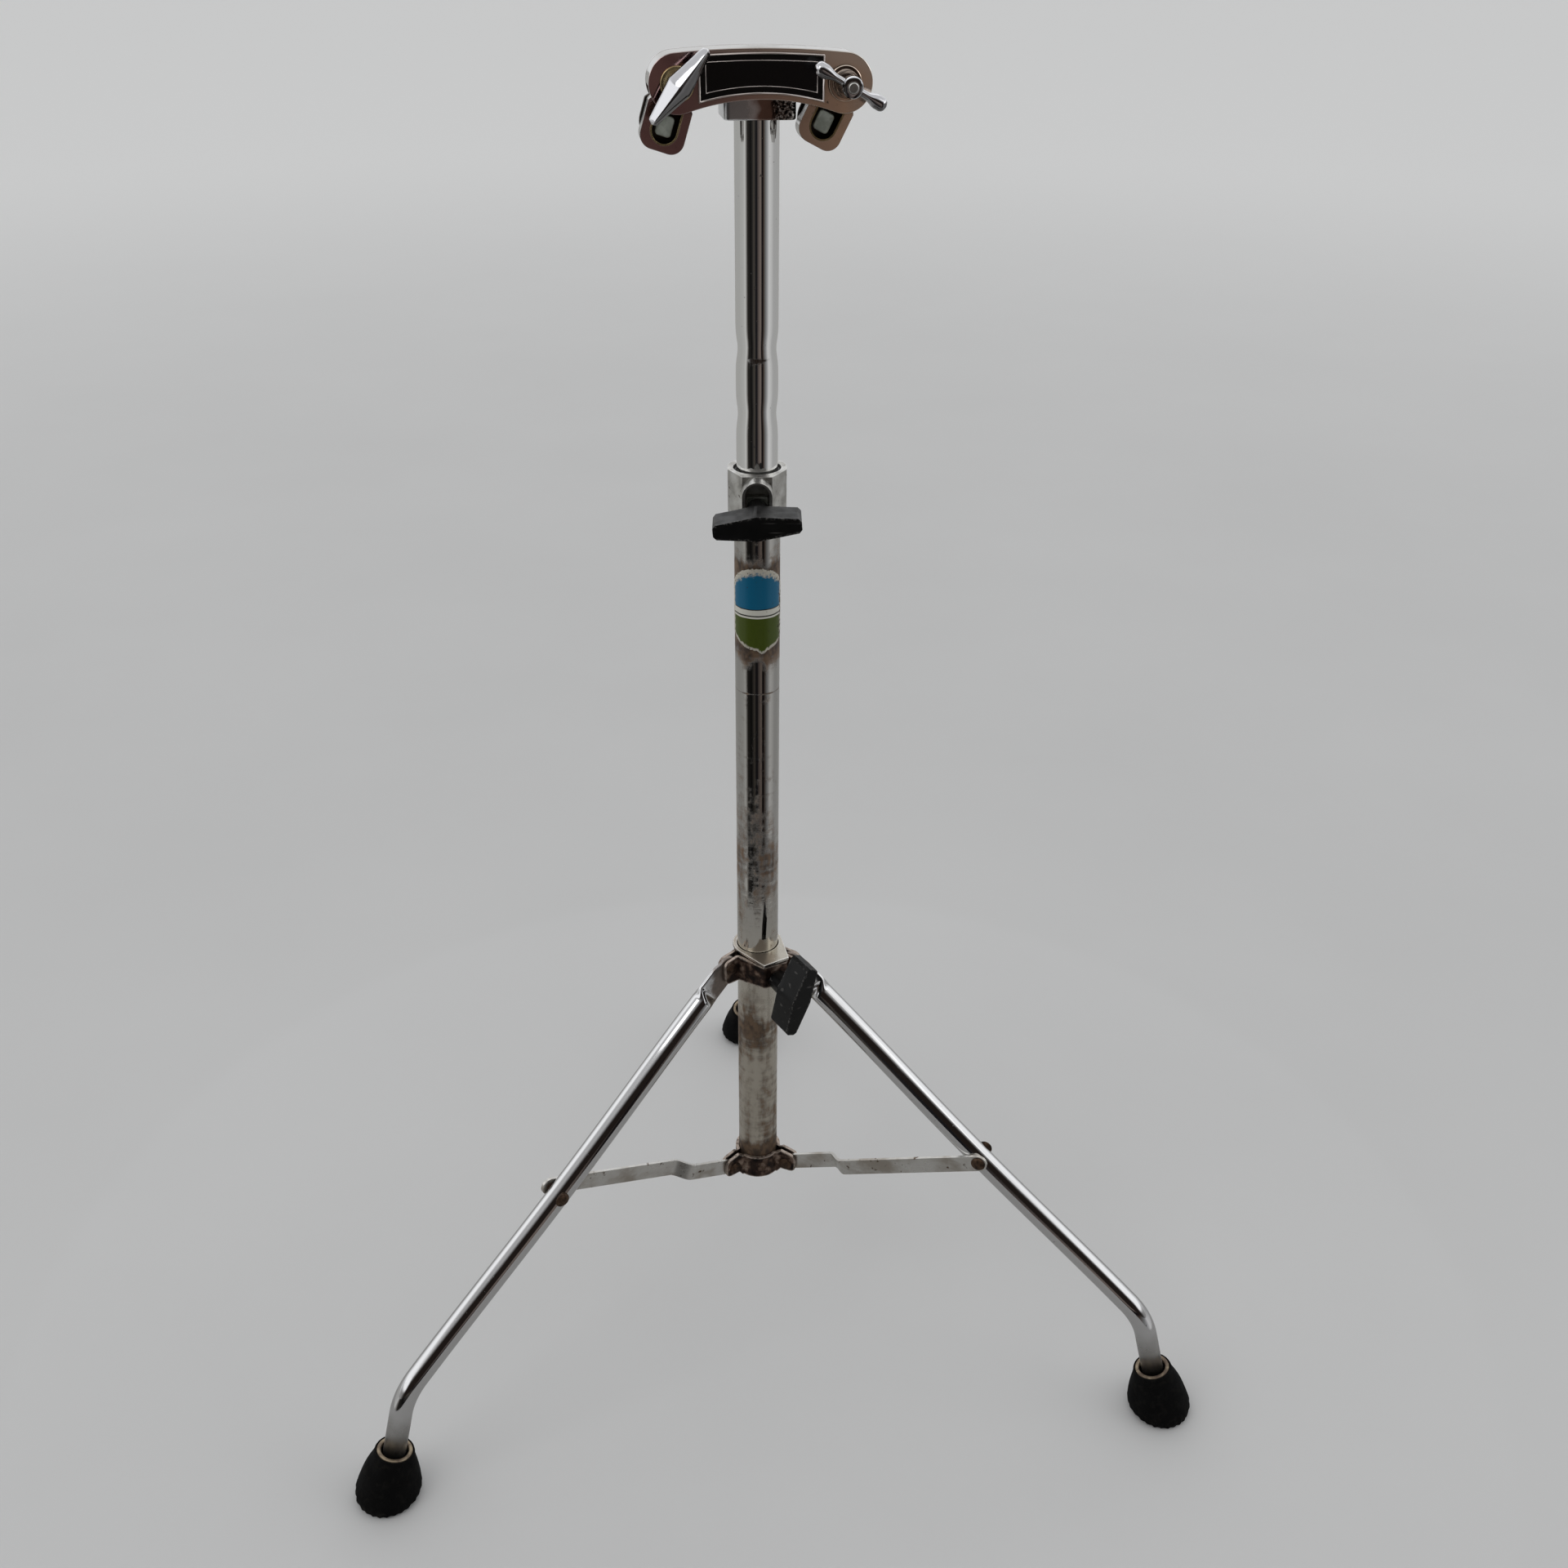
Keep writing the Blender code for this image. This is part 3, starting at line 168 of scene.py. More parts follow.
# top bracket
ARM = abs(pivot("left_tilt").x)
ARM_HEIGHT = pivot("left_tilt").z
END_R = half_width("bracket_shell") - ARM
BRACKET_FRONT = node_box("bracket_shell")[0].y
BRACKET_BACK = node_box("bracket_shell")[1].y
ARCH_TOP = node_box("bracket_shell")[1].z
ARCH_RISE = 22.3             # height of the bracket's face on its middle line
TILTS = {"left": -17.5, "right": -27.0}
SHELL_WALL = 2.0
TILTER_WALL = 2.3
TAB_HALF = 10.8
TAB_LENGTH = 31.0
TAB_CORNER_R = 6.5
REAR_TAB_LENGTH = 30.5
REAR_TAB_EXTRA = 1.0         # how much further the rear tab reaches to each side
WINDOW = (6.7, 11.5, 28.0)   # half width, top and bottom below the bolt
WINDOW_RIM = 0.7
BLOCK_BELOW = 19.6           # from a bolt down to its clamp block
BOLT_R = 2.5
BOLT_HOLE_R = 2.75
LEFT_WING_TURN = 49.5
RIGHT_WING_TURN = -28.0


# ---------------------------------------------------------------- geometry helpers

def radial(azimuth):
    angle = math.radians(azimuth)
    return Vector((math.cos(angle), math.sin(angle), 0.0))


def tangent(azimuth):
    return radial(azimuth + 90.0)


def in_leg_plane(azimuth, point, offset=0.0):
    """World point from (reach, height) in a leg's upright plane and an offset across it."""
    return radial(azimuth) * point.x + tangent(azimuth) * offset + UP * point.y


def basis(origin, x_axis, y_axis, z_axis):
    matrix = Matrix.Identity(4)
    for column, axis in enumerate((x_axis, y_axis, z_axis)):
        matrix.col[column].xyz = axis
    matrix.col[3].xyz = origin
    return matrix


def axial_frame(origin, direction):
    """Local frame with +Z along direction and +Y as near to up as it can be."""
    z_axis = direction.normalized()
    x_axis = UP.cross(z_axis).normalized()
    return basis(origin, x_axis, z_axis.cross(x_axis), z_axis)


def smooth(share):
    share = min(1.0, max(0.0, share))
    return share * share * (3.0 - 2.0 * share)


def skin(rings, closed=False):
    """Solid through a row of equal rings, capped at both ends or joined back to the first."""
    mesh = bmesh.new()
    rows = [[mesh.verts.new(point) for point in ring] for ring in rings]
    spans = list(zip(rows, rows[1:]))
    if closed:
        spans.append((rows[-1], rows[0]))
    else:
        mesh.faces.new(rows[0])
        mesh.faces.new(rows[-1])
    count = len(rows[0])
    for low, high in spans:
        for i in range(count):
            j = (i + 1) % count
            mesh.faces.new((low[i], low[j], high[j], high[i]))
    return mesh


def circle(radius, steps, z=0.0):
    turns = [2 * math.pi * i / steps for i in range(steps)]
    return [Vector((radius * math.cos(a), radius * math.sin(a), z)) for a in turns]


def turned(profile, steps, matrix, hollow=False):
    """Solid of revolution; profile lists (radius, z) and runs round a wall if hollow."""
    rings = [[matrix @ point for point in circle(radius, steps, z)] for radius, z in profile]
    return skin(rings, closed=hollow)


def rod(radius, low, high, matrix, steps=32):
    return turned([(radius, low), (radius, high)], steps, matrix)


def prism(outline, low, high, matrix):
    rings = [[matrix @ Vector((x, y, z)) for x, y in outline] for z in (low, high)]
    return skin(rings)


def arc(centre, radius, start, end, steps):
    points = []
    for i in range(steps + 1):
        angle = math.radians(start + (end - start) * i / steps)
        points.append((centre[0] + radius * math.cos(angle), centre[1] + radius * math.sin(angle)))
    return points


def rounded_box(half_x, half_y, corner, steps):
    outline = []
    for x, y, start in ((1, -1, -90), (1, 1, 0), (-1, 1, 90), (-1, -1, 180)):
        centre = (x * (half_x - corner), y * (half_y - corner))
        outline += arc(centre, corner, start, start + 90, steps)
    return outline


def dome(radius, seat, height, turns):
    """Profile of a rivet head, as (radius, z), at the given angles above its seat."""
    angles = [math.radians(turn) for turn in turns]
    return [(radius * math.cos(a), seat + height * math.sin(a)) for a in angles]


def sleeve(inner, outer, low, high, lip, steps, matrix=UPRIGHT):
    """Open tube whose rims are rounded."""
    profile = []
    for centre, start in (((outer - lip, low + lip), -90), ((outer - lip, high - lip), 0),
                          ((inner + lip, high - lip), 90), ((inner + lip, low + lip), 180)):
        profile += arc(centre, lip, start, start + 90, 3)
    return turned(profile, steps, matrix, hollow=True)


def strip(stations, half_thick, rim=0.0):
    """Bent flat strip; a station is (middle point, side direction, low point, high point).

    With a rim width, the rim attribute is 1 along the strip's edges and 0 that far inside them.
    """
    rings, shares, lengths = [], [], [0.0]
    for before, after in zip(stations, stations[1:]):
        lengths.append(lengths[-1] + (after[0] - before[0]).length)
    for (middle, side, low, high), length in zip(stations, lengths):
        shift = side * half_thick
        if not rim:
            line = [middle + low, middle + high]
            rings.append([point + shift for point in line] + [point - shift for point in reversed(line)])
            continue
        inset = (high - low) * min(0.45, rim / (high - low).length)
        line = [middle + low, middle + low + inset, middle + high - inset, middle + high]
        rings.append([point + shift for point in line] + [point - shift for point in reversed(line)])
        end = max(0.0, 1.0 - min(length, lengths[-1] - length) / (rim * 1.3))
        shares.append([1.0, end, end, 1.0, 1.0, end, end, 1.0])
    mesh = skin(rings)
    if rim:
        layer = mesh.verts.layers.float.new("rim")
        flat = [share for ring in shares for share in ring]
        for vertex, share in zip(mesh.verts, flat):
            vertex[layer] = share
    return mesh


# ---------------------------------------------------------------- objects

MATERIALS = {}


def new_object(name, mesh_data):
    """Object in metres from a bmesh in millimetres."""
    mesh_data.transform(Matrix.Scale(MM, 4))
    bmesh.ops.recalc_face_normals(mesh_data, faces=mesh_data.faces)
    mesh = bpy.data.meshes.new(name)
    mesh_data.to_mesh(mesh)
    mesh_data.free()
    mesh.shade_smooth()
    thing = bpy.data.objects.new(name, mesh)
    bpy.context.scene.collection.objects.link(thing)
    return thing


def carve(thing, shapes):
    """Applies (operation, bmesh) shapes to thing, then drops them."""
    tools = []
    for operation, shape in shapes:
        tool = new_object(thing.name + "_tool", shape)
        modifier = thing.modifiers.new("carve", 'BOOLEAN')
        modifier.operation = operation
        modifier.object = tool
        tools.append(tool)
    evaluated = thing.evaluated_get(bpy.context.evaluated_depsgraph_get())
    mesh = bpy.data.meshes.new_from_object(evaluated)
    thing.modifiers.clear()
    thing.data = mesh
    for tool in tools:
        bpy.data.objects.remove(tool, do_unlink=True)
    mesh.shade_smooth()


def round_edges(thing, width, segments):
    modifier = thing.modifiers.new("rounding", 'BEVEL')
    modifier.width = width * MM
    modifier.segments = segments
    modifier.limit_method = 'ANGLE'
    modifier.angle_limit = math.radians(32)
    modifier.harden_normals = True


def add_piece(node, mesh_data, material, shapes=(), bevel=0.0, segments=3, suffix="skin", body=None):
    """Finished piece that stands for a node, or an extra one if a body is named."""
    thing = new_object(node + "_" + suffix, mesh_data)
    if shapes:
        carve(thing, shapes)
    if bevel:
        round_edges(thing, bevel, segments)
    thing.data.materials.clear()
    thing.data.materials.append(MATERIALS[material])
    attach(thing, body or BODY_OF[node])
    if body is None:
        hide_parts(node)
    return thing


def keep_node(node, material, bevel):
    """Shows the frame's own node with a finished material and rounded edges."""
    thing = frame["nodes"][node]
    thing.data.materials.clear()
    thing.data.materials.append(MATERIALS[material])
    weld = thing.modifiers.new("weld", 'WELD')
    weld.merge_threshold = 0.01 * MM
    round_edges(thing, bevel, 2)


# ---------------------------------------------------------------- materials

class Signal:
    """Output of a shader node that takes part in plain arithmetic."""

    def __init__(self, graph, socket):
        self.graph = graph
        self.socket = socket

    def __add__(self, other):
        return self.graph.math('ADD', self, other)

    def __sub__(self, other):
        return self.graph.math('SUBTRACT', self, other)

    def __rsub__(self, other):
        return self.graph.math('SUBTRACT', other, self)

    def __mul__(self, other):
        return self.graph.math('MULTIPLY', self, other)


class Graph:
    """Short way to write a node tree."""

    def __init__(self, tree):
        self.tree = tree
        tree.nodes.clear()

    def feed(self, socket, value):
        """Links a signal to a socket, or sets the socket's own value."""
        if isinstance(value, Signal):
            self.tree.links.new(value.socket, socket)
        elif socket.type == 'RGBA':
            socket.default_value = (*value, 1.0)
        else:
            socket.default_value = value

    def node(self, kind, inputs=None, output=0, **settings):
        item = self.tree.nodes.new("ShaderNode" + kind)
        for key, value in settings.items():
            setattr(item, key, value)
        for key, value in (inputs or {}).items():
            self.feed(item.inputs[key], value)
        return Signal(self, item.outputs[output]) if item.outputs else None

    def math(self, operation, a, b=0.0):
        return self.node("Math", {0: a, 1: b}, operation=operation)

    def vector(self, operation, inputs):
        return self.node("VectorMath", inputs, output="Value", operation=operation)

    def part(self, vector, name):
        return self.node("SeparateXYZ", {0: vector}, output=name)

    def spot(self):
        """Object coordinates in metres."""
        return self.node("TexCoord", output="Object")

    def normal(self):
        return self.node("NewGeometry", output="Normal")

    def axis(self, name):
        return self.part(self.spot(), name)

    def noise(self, scale, detail=4.0, stretch=(1, 1, 1), turn=(0, 0, 0)):
        """Cloudy pattern of blobs about 1 / scale metres wide, stretched into grain if asked."""
        place = self.node("Mapping", {"Vector": self.spot(), "Scale": stretch, "Rotation": turn})
        settings = {"Vector": place, "Scale": scale, "Detail": detail, "Roughness": 0.55}
        return self.node("TexNoise", settings, output="Fac")

    def span(self, value, low, high):
        """Share of the way from low to high."""
        return self.node("MapRange", {"Value": value, "From Min": low, "From Max": high})

    def step(self, value, low, high, to_low=0.0, to_high=1.0):
        """Smooth step of a value from low to high."""
        settings = {"Value": value, "From Min": low, "From Max": high, "To Min": to_low, "To Max": to_high}
        return self.node("MapRange", settings, interpolation_type='SMOOTHSTEP')

    def mix(self, share, a, b):
        return self.node("Mix", {0: share, 6: a, 7: b}, output=2, data_type='RGBA')

    def ramp(self, value, stops, interpolation='LINEAR'):
        """Curve or bands through (position, level or colour) stops."""
        item = self.tree.nodes.new("ShaderNodeValToRGB")
        item.color_ramp.interpolation = interpolation
        elements = item.color_ramp.elements
        while len(elements) < len(stops):
            elements.new(0.5)
        for element, (position, level) in zip(elements, stops):
            element.position = position
        for element, (position, level) in zip(elements, stops):
            colour = level if isinstance(level, tuple) else (level, level, level)
            element.color = (*colour, 1.0)
        self.feed(item.inputs[0], value)
        return Signal(self, item.outputs[0])

    def edges(self, radius, low=0.02, high=0.25):
        """1 near an outer edge within radius, 0 on flats."""
        rounded = self.node("Bevel", {"Radius": radius}, samples=4)
        dot = self.vector('DOT_PRODUCT', {0: rounded, 1: self.normal()})
        return self.step(1.0 - dot, low, high)

    def finish(self, colour, roughness, metallic, height, depth, specular=0.5):
        """Surface with a bump whose height signal is worth depth metres."""
        bump = self.node("Bump", {"Height": height, "Strength": 1.0, "Distance": depth})
        settings = {"Base Color": colour, "Roughness": roughness, "Metallic": metallic, "Normal": bump,
                    "Specular IOR Level": specular}
        self.node("OutputMaterial", {"Surface": self.node("BsdfPrincipled", settings)})


def material(name):
    made = bpy.data.materials.new(name)
    made.use_nodes = True
    MATERIALS[name] = made
    return Graph(made.node_tree)


def chrome_material(name, tint, stained, base_rough, edge_highlight=0.0):
    """Bright plate: fine scratches along one axis, pinprick pits and faint brown stains, and if asked a painted
    highlight on its edges.
    """
    g = material(name)
    cloud = g.noise(35.0, 5.0)
    lines = g.noise(900.0, 2.0, (1, 1, 0.08))
    pits = g.step(g.noise(420.0, 3.0), 0.70, 0.76)
    stain_and_reflection = g.step(cloud, 1.0 - stained, 1.15 - stained)
    colour = g.mix(stain_and_reflection * 0.55, tint, (0.20, 0.14, 0.10))
    colour = g.mix(pits * 0.8, colour, (0.05, 0.035, 0.025))
    # painted highlight: edges within this radius are painted near white
    if edge_highlight:
        colour = g.mix(g.edges(edge_highlight, 0.005, 0.10), colour, (0.95, 0.94, 0.92))
    rough = g.step(lines, 0.35, 0.8, base_rough, base_rough + 0.09) + stain_and_reflection * 0.16
    rough = rough + pits * 0.4
    relief = g.noise(60.0, 2.0) * 0.3 - pits * 0.5
    g.finish(colour, rough, 1.0, relief, 0.00006)


def bracket_material(name, base_rough):
    """Plated bracket and tabs, paler towards the top, with painted light: a painted reflection that is maroon on
    the left arm, copper on the right and grey at the end, painted shade in hollows and on faces that face up, and
    painted highlights on edges.
    """
    g = material(name)
    side = g.axis("X")
    cloud = g.noise(42.0, 5.0)
    drift = side + (cloud - 0.5) * 0.03
    share = g.span(drift, -0.06, 0.06)
    # painted reflection: maroon and copper tints stand for the brown room reflected in the front faces
    stain_and_reflection = [(0.0, (0.62, 0.38, 0.36)), (0.15, (0.42, 0.25, 0.25)), (0.30, (0.44, 0.30, 0.28)),
            (0.66, (0.66, 0.50, 0.40)), (0.84, (0.88, 0.66, 0.50)), (1.0, (0.86, 0.78, 0.70))]
    colour = g.ramp(share, stain_and_reflection)
    pale = g.step(g.axis("Z") + side * 0.1, (ARM_HEIGHT + 6) * MM, ARCH_TOP * MM)
    colour = g.mix(pale * 0.6, colour, (0.9, 0.86, 0.8))
    normal = g.normal()
    # faces not turned to the front are plain grey: the painted reflection sits on front faces only
    forward = g.step(g.part(normal, "Y"), -0.35, -0.80)
    colour = g.mix(forward, (0.52, 0.51, 0.49), colour)
    upward = g.part(normal, "Z")
    # painted shade: hollows and recesses found by ambient occlusion are painted near black
    inside = g.node("AmbientOcclusion", {"Distance": 0.010}, output="AO", samples=4)
    colour = g.mix(g.step(inside, 0.62, 0.30), colour, (0.02, 0.016, 0.013))
    # painted highlight: edges painted pale
    rim = g.edges(0.0009)
    colour = g.mix(rim * 0.85, colour, (0.92, 0.9, 0.86))
    pits = g.step(g.noise(430.0, 3.0), 0.70, 0.76)
    # painted shade: faces that face up are painted a darker brown
    colour = g.mix(g.step(upward, 0.70, 0.90), colour, (0.26, 0.235, 0.19))
    colour = g.mix(pits * 0.8, colour, (0.05, 0.035, 0.025))
    rough = g.step(cloud, 0.35, 0.75, base_rough, base_rough + 0.14) + pits * 0.4
    rough = rough + rim * 0.12
    relief = g.noise(60.0, 2.0) * 0.3 - pits * 0.5
    g.finish(colour, rough, 1.0, relief, 0.00006)


def wing_material():
    """Bright cast wings with painted shade on the facets that face down and to the right, and a painted highlight
    on their edges.
    """
    g = material("chrome_wing")
    cloud = g.noise(60.0, 4.0)
    # painted shade: facets facing down and to the right are painted dark
    under = g.vector('DOT_PRODUCT', {0: g.normal(), 1: (0.62, 0.0, -0.78)})
    underside_shade = g.step(under + (cloud - 0.5) * 0.5, 0.0, 0.32)
    colour = g.mix(underside_shade * 0.85, (0.68, 0.68, 0.7), (0.1, 0.095, 0.095))
    # painted highlight: edges painted pale
    colour = g.mix(g.edges(0.0009, 0.006, 0.12), colour, (0.90, 0.90, 0.91))
    relief = cloud * 0.6 + g.noise(420.0, 3.0) * 0.2
    g.finish(colour, g.step(cloud, 0.3, 0.7, 0.05, 0.15), 1.0, relief, 0.0001)


def cast_material():
    """Polished casting of the height clamp: uneven grey with dark grime specks, and a painted highlight on its
    edges.
    """
    g = material("chrome_cast")
    cloud = g.noise(110.0, 6.0)
    grain = g.noise(420.0, 4.0)
    rim = g.edges(0.0010)
    greys = [(0.30, (0.32, 0.31, 0.29)), (0.50, (0.56, 0.55, 0.52)), (0.68, (0.74, 0.74, 0.72))]
    colour = g.ramp(cloud, greys)
    # painted highlight: edges painted pale
    colour = g.mix(rim * 0.8, colour, (0.9, 0.9, 0.88))
    colour = g.mix(g.step(grain, 0.62, 0.72), colour, (0.14, 0.12, 0.10))
    relief = cloud * 1.0 + grain * 0.35
    g.finish(colour, g.step(cloud, 0.3, 0.7, 0.44, 0.30), 1.0, relief, 0.00045)


def socket_material():
    """Block under the bracket: grey on its left, browned in the middle, pitted on its right, with a painted
    highlight on its edges.
    """
    g = material("chrome_socket")
    side = g.axis("X") + (g.noise(130.0, 4.0) - 0.5) * 0.01
    share = g.span(side, -0.018, 0.018)
    tones = [(0.0, (0.95, 0.97, 0.99)), (0.38, (0.80, 0.80, 0.82)), (0.50, (0.24, 0.15, 0.12)),
             (0.68, (0.16, 0.10, 0.08)), (0.80, (0.36, 0.29, 0.25)), (1.0, (0.62, 0.60, 0.58))]
    colour = g.ramp(share, tones)
    speck = g.noise(900.0, 3.0)
    worn = g.step(share, 0.62, 0.74)
    colour = g.mix(g.step(speck, 0.5, 0.54) * worn, colour, (0.012, 0.01, 0.01))
    colour = g.mix(g.step(speck, 0.42, 0.38) * worn, colour, (0.95, 0.94, 0.92))
    rim = g.edges(0.0014)
    # painted highlight: edges painted pale
    colour = g.mix(rim * 0.85, colour, (0.92, 0.92, 0.9))
    rough = g.step(share, 0.45, 0.3, 0.1, 0.3) + worn * 0.16
    relief = speck * worn
    g.finish(colour, rough, 1.0, relief, 0.0004)


def column_material():
    """Lower tube: plating that gives way to rust streaks, with bands where most of it has gone."""
    g = material("tube_worn")
    height = g.axis("Z")
    share = g.span(height, 0.0, LOWER_TOP * MM)
    label_low, label_high = (corner.z for corner in node_box("tube_label"))
    wear = [(0, 0.75), (HUB_HIGH + 2, 0.74), (HUB_HIGH + 12, 0.50), (95, 0.47), (112, 0.58), (122, 0.64),
            (134, 0.50), (COLLAR_LOW, 0.38), (CAP_TOP + 20, 0.44), (250, 0.52), (300, 0.45),
            (label_low - 14, 0.38), (label_low - 3, 0.56), (label_low + 5, 0.74), (label_high - 6, 0.74),
            (label_high + 3, 0.66), (label_high + 9, 0.46), (LOWER_TOP, 0.38)]
    amounts = [(min(1.0, max(0.0, z / LOWER_TOP)), rusted) for z, rusted in wear]
    amount = g.ramp(share, amounts)
    behind = g.step(g.axis("Y"), -0.002, 0.006) * g.step(height, (label_low - 14) * MM, label_low * MM)
    amount = amount - behind * 0.3
    streak = g.noise(85.0, 5.0, (1, 1, 0.16))
    spots = g.noise(230.0, 5.0, (1, 1, 0.7))
    rings = g.noise(120.0, 3.0, (0.25, 0.25, 3.0))
    mottle = streak * 0.55 + spots * 0.3
    mottle = mottle + rings * 0.15
    seam = g.math('ABSOLUTE', height - (label_low - 25.0) * MM)
    seam = g.step(seam, 0.0007, 0.0002) * 0.16
    rust = g.step(mottle + amount + seam, 0.93, 1.12)
    dull = g.step(streak + g.step(height, 0.3, 0.02), 0.55, 1.35)
    brown = g.mix(g.step(spots, 0.35, 0.65), (0.032, 0.014, 0.005), (0.15, 0.088, 0.045))
    plate = g.mix(g.step(height, 0.26, 0.13), (0.46, 0.45, 0.43), (0.82, 0.79, 0.71))
    plate = g.mix(dull * 0.5, plate, (0.38, 0.32, 0.24))
    colour = g.mix(rust * 0.95, plate, brown)
    rough = g.step(dull, 0.0, 1.0, 0.07, 0.30)
    rough = rough + rust * 0.34
    metal = g.step(rust, 0.0, 1.0, 1.0, 0.25)
    relief = spots * (rust * 0.8) + streak * 0.06
    g.finish(colour, rough, metal, relief, 0.00018)


def rusty_material():
    """Pressed plates: plating gone, dark pitted rust, rims lighter, partly rubbed and partly a painted edge
    highlight.
    """
    g = material("plate_rust")
    blotch = g.noise(150.0, 6.0)
    pits = g.noise(520.0, 4.0)
    rim = g.node("Attribute", {}, output="Fac", attribute_name="rim")
    rim = g.step(rim, 0.05, 0.75)
    rusts = [(0.36, (0.008, 0.005, 0.004)), (0.49, (0.040, 0.022, 0.016)),
             (0.57, (0.14, 0.09, 0.065)), (0.70, (0.40, 0.31, 0.25))]
    colour = g.ramp(blotch, rusts)
    # rims painted lighter: partly rubbed wear, partly a painted edge highlight
    colour = g.mix(rim * g.step(pits, 0.25, 0.55) * 0.85, colour, (0.5, 0.42, 0.36))
    rough = g.step(rim, 0.0, 1.0, 0.55, 0.32)
    relief = blotch * 0.7 + pits * 0.5
    g.finish(colour, rough, 0.75, relief, 0.0004)


def leg_material():
    """Leg tubes: bright plate, with brown stains and rust near the crimped upper end."""
    g = material("leg_chrome")
    flat = g.node("VectorMath", {0: g.spot(), 1: (1.0, 1.0, 0.0)}, operation='MULTIPLY')
    reach = g.vector('LENGTH', {0: flat})
    near = g.step(reach, 0.052, 0.028)
    cloud = g.noise(70.0, 5.0)
    fine = g.noise(300.0, 4.0)
    rust = g.step(near * 0.52 + cloud, 0.76, 0.98)
    pits = g.step(g.noise(500.0, 3.0), 0.71, 0.77)
    colour = g.mix(rust * 0.8, (0.7, 0.7, 0.705), g.mix(fine, (0.055, 0.032, 0.02), (0.3, 0.21, 0.15)))
    colour = g.mix(pits * 0.7, colour, (0.06, 0.04, 0.03))
    rough = g.step(g.noise(60.0, 3.0), 0.3, 0.8, 0.05, 0.13) + rust * 0.35
    rough = rough + pits * 0.3
    relief = fine * (rust * 0.6) - pits * 0.3
    low = g.step(g.axis("Z") + cloud * 0.02, (FLOOR + 80) * MM, (FLOOR + 58) * MM)
    colour = g.mix(low * 0.75, colour, g.mix(fine, (0.46, 0.45, 0.43), (0.34, 0.33, 0.31)))
    rough = rough + low * 0.24
    g.finish(colour, rough, 1.0, relief, 0.0001)


def brace_material():
    """Flat braces: satin grey plate with long soft streaks."""
    g = material("brace_satin")
    cloud = g.noise(48.0, 5.0, (1, 1, 1.6))
    grain = g.noise(800.0, 2.0, (0.12, 0.12, 1.0))
    colour = g.mix(g.step(cloud, 0.42, 0.68), (0.70, 0.69, 0.66), (0.46, 0.42, 0.37))
    colour = g.mix(g.step(g.noise(230.0, 4.0), 0.62, 0.72), colour, (0.13, 0.09, 0.06))
    g.finish(colour, g.step(cloud, 0.3, 0.8, 0.26, 0.42), 1.0, grain, 0.00003)


def plastic_material():
    """T-knobs: black moulded plastic, scratched, and rubbed lighter at the edges, which is partly a painted edge
    highlight.
    """
    g = material("knob_black")
    rim = g.edges(0.0022, 0.010, 0.12)
    fleck = g.step(g.noise(700.0, 3.0), 0.50, 0.62)
    long_scratch = g.step(g.noise(260.0, 2.0, (0.10, 0.7, 1.4), turn=(0.2, 0.3, 0.5)), 0.66, 0.70)
    worn = rim * fleck
    colour = g.mix(g.noise(90.0, 4.0), (0.002, 0.002, 0.002), (0.006, 0.006, 0.006))
    # edges rubbed lighter, partly a painted edge highlight
    colour = g.mix(worn * 0.45, colour, (0.3, 0.29, 0.27))
    colour = g.mix(long_scratch * 0.25, colour, (0.2, 0.19, 0.18))
    rough = g.step(g.noise(160.0, 4.0), 0.3, 0.7, 0.30, 0.46)
    relief = g.noise(900.0, 3.0) * 0.4 + long_scratch * -0.6
    g.finish(colour, rough, 0.0, relief, 0.00005, specular=0.22)


def rubber_material():
    """Feet: matte black rubber, dusty and ragged towards the sole."""
    g = material("foot_rubber")
    low = g.step(g.axis("Z"), (FLOOR + 7) * MM, FLOOR * MM)
    dust = g.step(g.noise(240.0, 5.0), 0.48, 0.7) * (low * 0.7 + 0.15)
    colour = g.mix(dust * 0.35, (0.003, 0.003, 0.003), (0.09, 0.08, 0.065))
    relief = g.noise(380.0, 5.0) + g.noise(1500.0, 2.0) * 0.3
    g.finish(colour, g.step(g.noise(120.0, 3.0), 0.3, 0.7, 0.66, 0.88), 0.0, relief, 0.0002, specular=0.08)


def alloy_material(name, bright, dark, rough, metallic, grain=170.0):
    """Dull metal with two mottled tones and a painted highlight on its edges: nuts, studs, washers, ferrules."""
    g = material(name)
    blotch = g.noise(grain, 5.0)
    rim = g.edges(0.0005)
    colour = g.mix(g.step(blotch, 0.35, 0.68), bright, dark)
    # painted highlight: edges painted lighter
    colour = g.mix(rim * 0.5, colour, tuple((min(1.0, c * 1.5) for c in bright)))
    g.finish(colour, g.step(blotch, 0.3, 0.7, rough, rough + 0.2), metallic, g.noise(600.0, 4.0), 0.00008)


def badge_material():
    g = material("badge_ink")
    haze = g.noise(140.0, 4.0)
    colour = g.mix(haze, (0.002, 0.002, 0.002), (0.006, 0.005, 0.005))
    g.finish(colour, g.step(haze, 0.3, 0.7, 0.14, 0.24), 0.0, g.noise(500.0, 3.0), 0.00002, specular=0.22)


